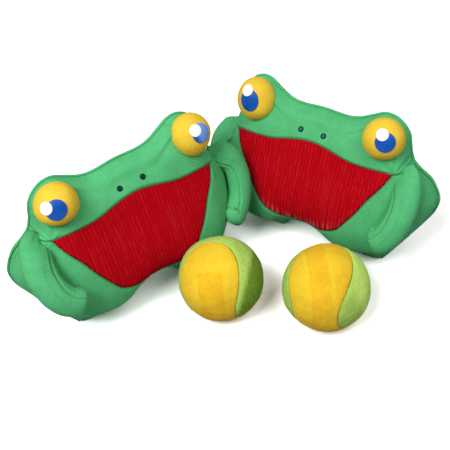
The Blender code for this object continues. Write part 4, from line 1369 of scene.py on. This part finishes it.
    def strap(self) -> None:
        """Make the elastic hand strap: two sewn tabs and an arch over the back."""
        cut = self.pattern
        span, tab, width, thick, rise, level = 0.104, 0.014, 0.045, 0.0018, 0.026, 0.06797
        half = 0.5 * span
        t = np.linspace(-1.0, 1.0, 90)
        arch = np.stack([t * (half - tab), rise * (1.0 - np.abs(t) ** 2.6)], -1)
        line = np.vstack([[(-half, 0.0), (-half + 0.4 * tab, 0.0)], arch,
                          [(half - 0.4 * tab, 0.0), (half, 0.0)]])
        line = even_line(line, 160)
        high = np.linspace(-0.5 * width, 0.5 * width, 40)
        seat_x = line[:, 0]
        grid = np.zeros((len(high), len(line), 3))
        lean = math.atan2(cut.lean, 1.0)
        for k, h in enumerate(high):
            z = level + h * math.cos(lean)
            seat = cut.back_y(seat_x, np.full_like(seat_x, z)) + 0.0016
            grid[k, :, 0] = seat_x
            grid[k, :, 1] = np.where(line[:, 1] > 0.0005,
                                     np.maximum(cut.seam_y(0.0, level) + cut.back_depth
                                                + line[:, 1] + 0.002 + h * math.sin(lean), seat),
                                     seat)
            grid[k, :, 2] = z
        edge = np.minimum(np.abs(high[:, None] - 0.5 * width), np.abs(high[:, None] + 0.5 * width))
        box = np.abs(np.abs(line[None, :, 0]) - (half - 0.6 * tab))
        stitch = np.minimum(np.abs(edge - 0.0035) + 0.0 * box, np.abs(box - 0.3 * tab))
        uv = np.stack(np.broadcast_arrays(line[None, :, 0], high[:, None]), -1)
        if grid_normals(grid)[20, 80, 1] < 0:
            grid, uv, stitch = grid[:, ::-1], uv[:, ::-1], stitch[:, ::-1]
        self.sew("hand_strap", "strap_green", grid, uv, {"stitch": stitch}, thick)


# The balls


@dataclass(frozen=True)
class NapAndShadePatch:
    """Stretch of a ball that looks deeper: brushed nap that lies another way, and on the lime lobes
    partly painted shade.

    Its edges are shares of the ball's radius, along +X and along the way up and back.
    """

    left: float
    right: float
    low: float = -2.0
    high: float = 2.0
    slant: float = 0.0
    soft: float = 0.06
    share: float = 0.7

    def depth_at(self, across: np.ndarray, up: np.ndarray) -> np.ndarray:
        """Return how deep the patch makes the cloth look at places on the ball."""
        shifted = across - self.slant * up
        inside = ease((shifted - self.left) / self.soft + 0.5)
        inside = inside * ease((self.right - shifted) / self.soft + 0.5)
        inside = inside * ease((up - self.low) / self.soft + 0.5)
        return self.share * inside * ease((self.high - up) / self.soft + 0.5)


@dataclass
class Ball:
    """A soft ball: a core in two interlocking fleece lobes."""

    name: str
    x: float
    y: float
    lobe: tuple[float, float, float]
    tip: tuple[float, float, float]
    yellow_first: bool
    seed: float
    yellow_nap: tuple[NapAndShadePatch, ...] = ()
    # on the lime lobe the patches also paint the shade of the side that the lamps light less
    lime_nap: tuple[NapAndShadePatch, ...] = ()
    join_across: float | None = None
    radius: float = 0.0350
    spot: float = 0.0004
    cover: float = 0.0024
    waist: float = 0.25
    groove: float = 0.0006

    def centre(self) -> np.ndarray:
        """Return the ball's middle."""
        return np.array([self.x, self.y, self.radius - self.spot])

    def seam(self) -> np.ndarray:
        """Return the seam as unit ways from the middle, turned to its place."""
        t = np.arange(720) / 720 * 2 * math.pi
        a, b = 1.0 - self.waist, self.waist
        line = np.stack([a * np.cos(t) + b * np.cos(3 * t), a * np.sin(t) - b * np.sin(3 * t),
                         2 * math.sqrt(a * b) * np.sin(2 * t)], -1)
        lobe = Vector(self.lobe).normalized()
        tip = Vector(self.tip)
        tip = (tip - lobe * tip.dot(lobe)).normalized()
        own_lobe, own_tip = Vector((1, -1, 0)).normalized(), Vector((0, 0, -1))
        own = Matrix((own_lobe, own_tip, own_lobe.cross(own_tip))).transposed()
        to = Matrix((lobe, tip, lobe.cross(tip))).transposed()
        return line @ np.array(to @ own.transposed()).T

    def build(self) -> None:
        """Make the core and both cover lobes."""
        seam = self.seam()
        deselect()
        bpy.ops.mesh.primitive_ico_sphere_add(subdivisions=7, radius=1.0)
        blank = bpy.context.object
        ways = mesh_points(blank)
        ways /= np.linalg.norm(ways, axis=1)[:, None]
        faces = np.empty(len(blank.data.polygons) * 3, int)
        blank.data.polygons.foreach_get("vertices", faces)
        faces = faces.reshape(-1, 3)
        nearest = np.concatenate([np.argmax(part @ seam.T, axis=1)
                                  for part in np.array_split(ways, 40)])
        along = np.roll(seam, -1, axis=0) - np.roll(seam, 1, axis=0)
        side = np.einsum("ij,ij->i", np.cross(along[nearest], seam[nearest]), ways - seam[nearest])
        distance = self.radius * np.arccos(np.clip(np.einsum("ij,ij->i", ways, seam[nearest]),
                                                   -1.0, 1.0))
        pole = Vector(self.lobe).normalized()
        heart = int(np.argmax(ways @ np.array(pole)))
        first = np.sign(side[heart])
        bpy.data.objects.remove(blank, do_unlink=True)
        for is_first in (True, False):
            mine = side * first > 0 if is_first else side * first <= 0
            keep = mine[faces].sum(axis=1) >= 2
            yellow = is_first == self.yellow_first
            self.lobe_piece(ways, faces[keep], seam[nearest], distance * np.where(mine, 1, -1),
                            yellow)
        self.core()

    def lobe_piece(self, ways: np.ndarray, faces: np.ndarray, near: np.ndarray,
                   distance: np.ndarray, yellow: bool) -> None:
        """Make one cover lobe.

        Args:
            ways: unit ways of a fine ball's points.
            faces: the faces that belong to the lobe.
            near: the seam's nearest way for each point.
            distance: distance to the seam in metres, negative beyond it.
            yellow: whether it is the yellow lobe.
        """
        used, back = np.unique(faces, return_inverse=True)
        faces = back.reshape(-1, 3)
        ways, near, distance = ways[used], near[used], distance[used]
        edge = distance < 0.0001
        ways = np.where(edge[:, None], near, ways)
        distance = np.maximum(np.where(edge, 0.0, distance), 0.0)
        puff = 0.0008 * lumps(ways, 0.60, self.seed + (1.0 if yellow else 4.0))
        puff += 0.00025 * lumps(ways, 0.16, self.seed + (2.0 if yellow else 5.0))
        puff += 0.00013 * lumps(ways, 0.022, self.seed)
        across, up = ways[:, 0], ways @ np.array([0.0, 0.643, 0.766])
        across = across + 0.020 * lumps(ways, 0.09, self.seed + 6)
        up = up + 0.020 * lumps(ways, 0.09, self.seed + 7)
        # deeper nap, and on the lime lobes painted shade
        nap = sum((patch.depth_at(across, up) for patch in
                   (self.yellow_nap if yellow else self.lime_nap)), np.zeros(len(ways)))
        seam = distance.copy()
        if self.join_across is not None and not yellow:
            join = np.abs(across - 0.31 * up - self.join_across) * 1.6 * self.radius
            join += 0.02 * ease((np.abs(up + 0.17) - 0.20) / 0.1)
            seam = np.minimum(seam, np.where(across > 0.5, join, 1.0))
        reach = self.radius + puff - self.groove * np.exp(-seam / 0.0011)
        reach -= self.spot
        spots = self.centre() + ways * reach[:, None]
        spots[:, 2] = np.maximum(spots[:, 2], 0.0002)
        label, slot = ("yellow", "ball_yellow") if yellow else ("lime", "ball_lime")
        mesh = bpy.data.meshes.new(f"{self.name}_{label}_cover")
        mesh.from_pydata(spots.tolist(), [], faces.tolist())
        write_mark(mesh, "seam", seam)
        write_mark(mesh, "nap", nap)
        piece = into_scene(mesh.name, mesh)
        thicken(piece, self.cover)
        apply_all(piece)
        piece.data.shade_smooth()
        declare(piece, f"{self.name}_{label}_cover", slot)

    def core(self) -> None:
        """Make the soft core inside the covers."""
        deselect()
        bpy.ops.mesh.primitive_uv_sphere_add(segments=64, ring_count=40,
                                             radius=self.radius - self.groove - self.cover - 0.001,
                                             location=self.centre())
        core = bpy.context.object
        core.name = core.data.name = f"{self.name}_core_filling"
        settle(core)
        core.data.shade_smooth()
        declare(core, f"{self.name}_core", "stuffing_white")


# The studio


@dataclass(frozen=True)
class Lamp:
    """Square soft lamp that looks at the set."""

    name: str
    place: tuple[float, float, float]
    size: float
    power: float


@dataclass(frozen=True)
class Studio:
    """White sweep, soft light and the camera."""

    shift: tuple[float, float] = SET_SHIFT
    distance: float = 0.6718
    elevation: float = 40.0
    roll: float = 5.04
    focal_px: float = 700.0
    frame_px: float = 450.0
    paper: float = 0.93
    paper_lift: float = 1.05
    paper_bounce: float = 0.24
    surround: float = 0.23
    lamps: tuple[Lamp, ...] = (Lamp("left_box", (-0.56, -0.70, 1.10), 0.6, 14.3),
                               Lamp("right_box", (0.50, -0.62, 1.14), 0.6, 5.4))

    def build(self) -> None:
        """Make the floor, the light and the camera."""
        self.floor()
        self.world()
        for lamp in self.lamps:
            self.hang(lamp)
        self.camera()
        bpy.context.scene.view_settings.view_transform = "Standard"

    def floor(self) -> None:
        """Make a wide white floor that keeps the object's shadow."""
        deselect()
        bpy.ops.mesh.primitive_plane_add(size=60.0, location=(0.0, 0.0, -0.0002))
        floor = bpy.context.object
        floor.name = "white_floor"
        made = bpy.data.materials.new("white_paper")
        made.use_nodes = True
        bench = Bench(made.node_tree)
        path = bench.add("ShaderNodeLightPath")
        seen = bench.math("MAXIMUM", path.outputs["Is Camera Ray"], path.outputs["Is Glossy Ray"])
        layers = []
        for grey in (self.paper, self.paper_lift, self.paper_bounce):
            layers.append(bench.add("ShaderNodeBsdfDiffuse"))
            layers[-1].inputs["Color"].default_value = (grey, grey, grey, 1.0)
        bright = bench.add("ShaderNodeAddShader")
        choice = bench.add("ShaderNodeMixShader")
        output = bench.add("ShaderNodeOutputMaterial")
        for source, target in (
            (layers[0].outputs[0], bright.inputs[0]), (layers[1].outputs[0], bright.inputs[1]),
            (seen, choice.inputs[0]), (layers[2].outputs[0], choice.inputs[1]),
            (bright.outputs[0], choice.inputs[2]), (choice.outputs[0], output.inputs["Surface"]),
        ):
            bench.join(source, target)
        floor.data.materials.append(made)

    def world(self) -> None:
        """Make an even white surround, pure white to the camera and to gloss."""
        world = bpy.data.worlds.new("white_surround")
        bpy.context.scene.world = world
        world.use_nodes = True
        bench = Bench(world.node_tree)
        path = bench.add("ShaderNodeLightPath")
        seen = bench.math("MAXIMUM", bench.math("MAXIMUM", path.outputs["Is Camera Ray"],
                                                path.outputs["Is Glossy Ray"]),
                          path.outputs["Is Transmission Ray"])
        ground = bench.add("ShaderNodeBackground")
        ground.inputs["Color"].default_value = (1.0, 1.0, 1.0, 1.0)
        strength = bench.math("MULTIPLY_ADD", seen, 1.0 - self.surround, self.surround)
        bench.join(strength, ground.inputs["Strength"])
        output = bench.add("ShaderNodeOutputWorld")
        bench.join(ground.outputs[0], output.inputs["Surface"])

    def hang(self, lamp: Lamp) -> None:
        """Hang a lamp and turn it to the set."""
        data = bpy.data.lights.new(lamp.name, "AREA")
        data.size = lamp.size
        data.energy = lamp.power
        item = into_scene(lamp.name, data)
        item.location = lamp.place
        way = Vector((0.0, 0.0, 0.05)) - Vector(lamp.place)
        item.rotation_euler = way.to_track_quat("-Z", "Y").to_euler()

    def camera(self) -> None:
        """Place the camera at the viewing angle."""
        lift, turn = math.radians(self.elevation), math.radians(self.roll)
        place = Vector((0.0, -math.cos(lift), math.sin(lift))) * self.distance
        look = -place.normalized()
        right = Vector((1.0, 0.0, 0.0))
        up = right.cross(look)
        tilted = right * math.cos(turn) - up * math.sin(turn)
        upward = right * math.sin(turn) + up * math.cos(turn)
        data = bpy.data.cameras.new("camera")
        data.sensor_width = 36.0
        data.lens = 36.0 * self.focal_px / self.frame_px
        data.clip_start, data.clip_end = 0.02, 100.0
        item = into_scene("camera", data)
        basis = Matrix((tilted, upward, -look)).transposed().to_4x4()
        item.matrix_world = Matrix.Translation(place + Vector((*self.shift, 0.0))) @ basis
        bpy.context.scene.camera = item


def make_finishes() -> None:
    """Make one material for each finish, named by its slot."""
    finishes = [
        KnitFinish(),
        RibbedLoopFinish(),
        FleeceFinish("eye_yellow", (0.960, 0.640, 0.055), (0.860, 0.480, 0.020), 0.4, 0.7),
        FleeceFinish("ball_yellow", (0.940, 0.635, 0.036), (0.880, 0.485, 0.016), 0.2, 0.20),
        # the lime's deep colour is a shaded copy of it, which the lime patches lay on as painted
        # shade
        FleeceFinish("ball_lime", (0.700, 1.000, 0.215), (0.160, 0.310, 0.024), 0.2, 0.30, 0.09,
                     tint=(0.8, 1.0, 0.4)),
        PatchFinish("iris_blue", (0.0004, 0.085, 0.430), (0.0002, 0.070, 0.380)),
        PatchFinish("glint_white", (0.960, 0.960, 0.960), (0.930, 0.930, 0.930), (0.5, 0.6)),
        ThreadFinish("nostril_dark", (0.001, 0.045, 0.036), (0.0005, 0.014, 0.013)),
        ThreadFinish("stuffing_white", (0.82, 0.82, 0.80), (0.70, 0.70, 0.68)),
        WebbingFinish(),
    ]
    for finish in finishes:
        finish.material(f"{finish.slot}_finish")


def main() -> None:
    """Build the set's looks in order."""
    logging.basicConfig(level=logging.INFO, format="%(message)s")
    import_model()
    make_shared_effects()
    make_finishes()
    shift_x, shift_y = SET_SHIFT
    mitts = [
        Mitt("left_mitt", -0.0727 + shift_x, -0.0724 + shift_y, turn=34.6, slump=0.055, seed=11.0,
             gazes={Side.LEFT: Gaze(-22.0, 22.0, -49.0, 30.0),
                    Side.RIGHT: Gaze(6.0, 25.0, -12.0, 38.0)},
             arm_poses={Side.LEFT: ArmPose.RAISED, Side.RIGHT: ArmPose.FLUNG},
             # the left mitt's right iris carries a painted reflection
             eye_shifts={Side.LEFT: -0.0005, Side.RIGHT: 0.0012}, painted_reflection_patch="right_iris"),
        Mitt("right_mitt", 0.0819 + shift_x, -0.0254 + shift_y, turn=-38.0, slump=-0.022,
             seed=27.0,
             gazes={Side.LEFT: Gaze(8.0, 23.0, -5.0, 46.0),
                    Side.RIGHT: Gaze(27.0, 24.0, 15.0, 44.0)},
             arm_poses={Side.LEFT: ArmPose.HANGING, Side.RIGHT: ArmPose.BENT},
             eye_shifts={Side.LEFT: 0.0035, Side.RIGHT: 0.0010}, perk=0.0030, worn_jaw=1.0,
             teal_nostrils=1.0),
    ]
    for mitt in mitts:
        mitt.build()
    balls = [
        Ball("ball_one", -0.0072 + shift_x, -0.1077 + shift_y, lobe=(-0.35, -0.69, 0.64),
             tip=(-0.05, 0.21, 0.98), yellow_first=True, seed=3.0,
             yellow_nap=(NapAndShadePatch(-0.52, 0.05, -1.2, 0.22, soft=0.03, share=0.6),),
             # lime a little deeper all over, and much darker on its right side away from the key
             # lamp: deeper nap and painted shade
             lime_nap=(NapAndShadePatch(-2.0, 2.0, share=0.35),
                       NapAndShadePatch(0.60, 2.0, slant=0.35, soft=0.16, share=0.60))),
        Ball("ball_two", 0.0749 + shift_x, -0.1282 + shift_y, lobe=(0.895, -0.433, 0.108),
             tip=(0.17, -0.96, -0.21), yellow_first=False, seed=8.0,
             yellow_nap=(NapAndShadePatch(-0.45, -0.02, soft=0.03, share=0.6),
                         NapAndShadePatch(0.08, 0.40, soft=0.05, share=0.35)),
             # most of the lime lobe darker, its right side, which the right lamp lights, left
             # light: deeper nap and painted shade
             lime_nap=(NapAndShadePatch(-2.0, 0.55, slant=-0.25, soft=0.40, share=0.45),),
             join_across=0.90),
    ]
    for ball in balls:
        ball.build()
    Studio().build()


if __name__ == "__main__":
    main()
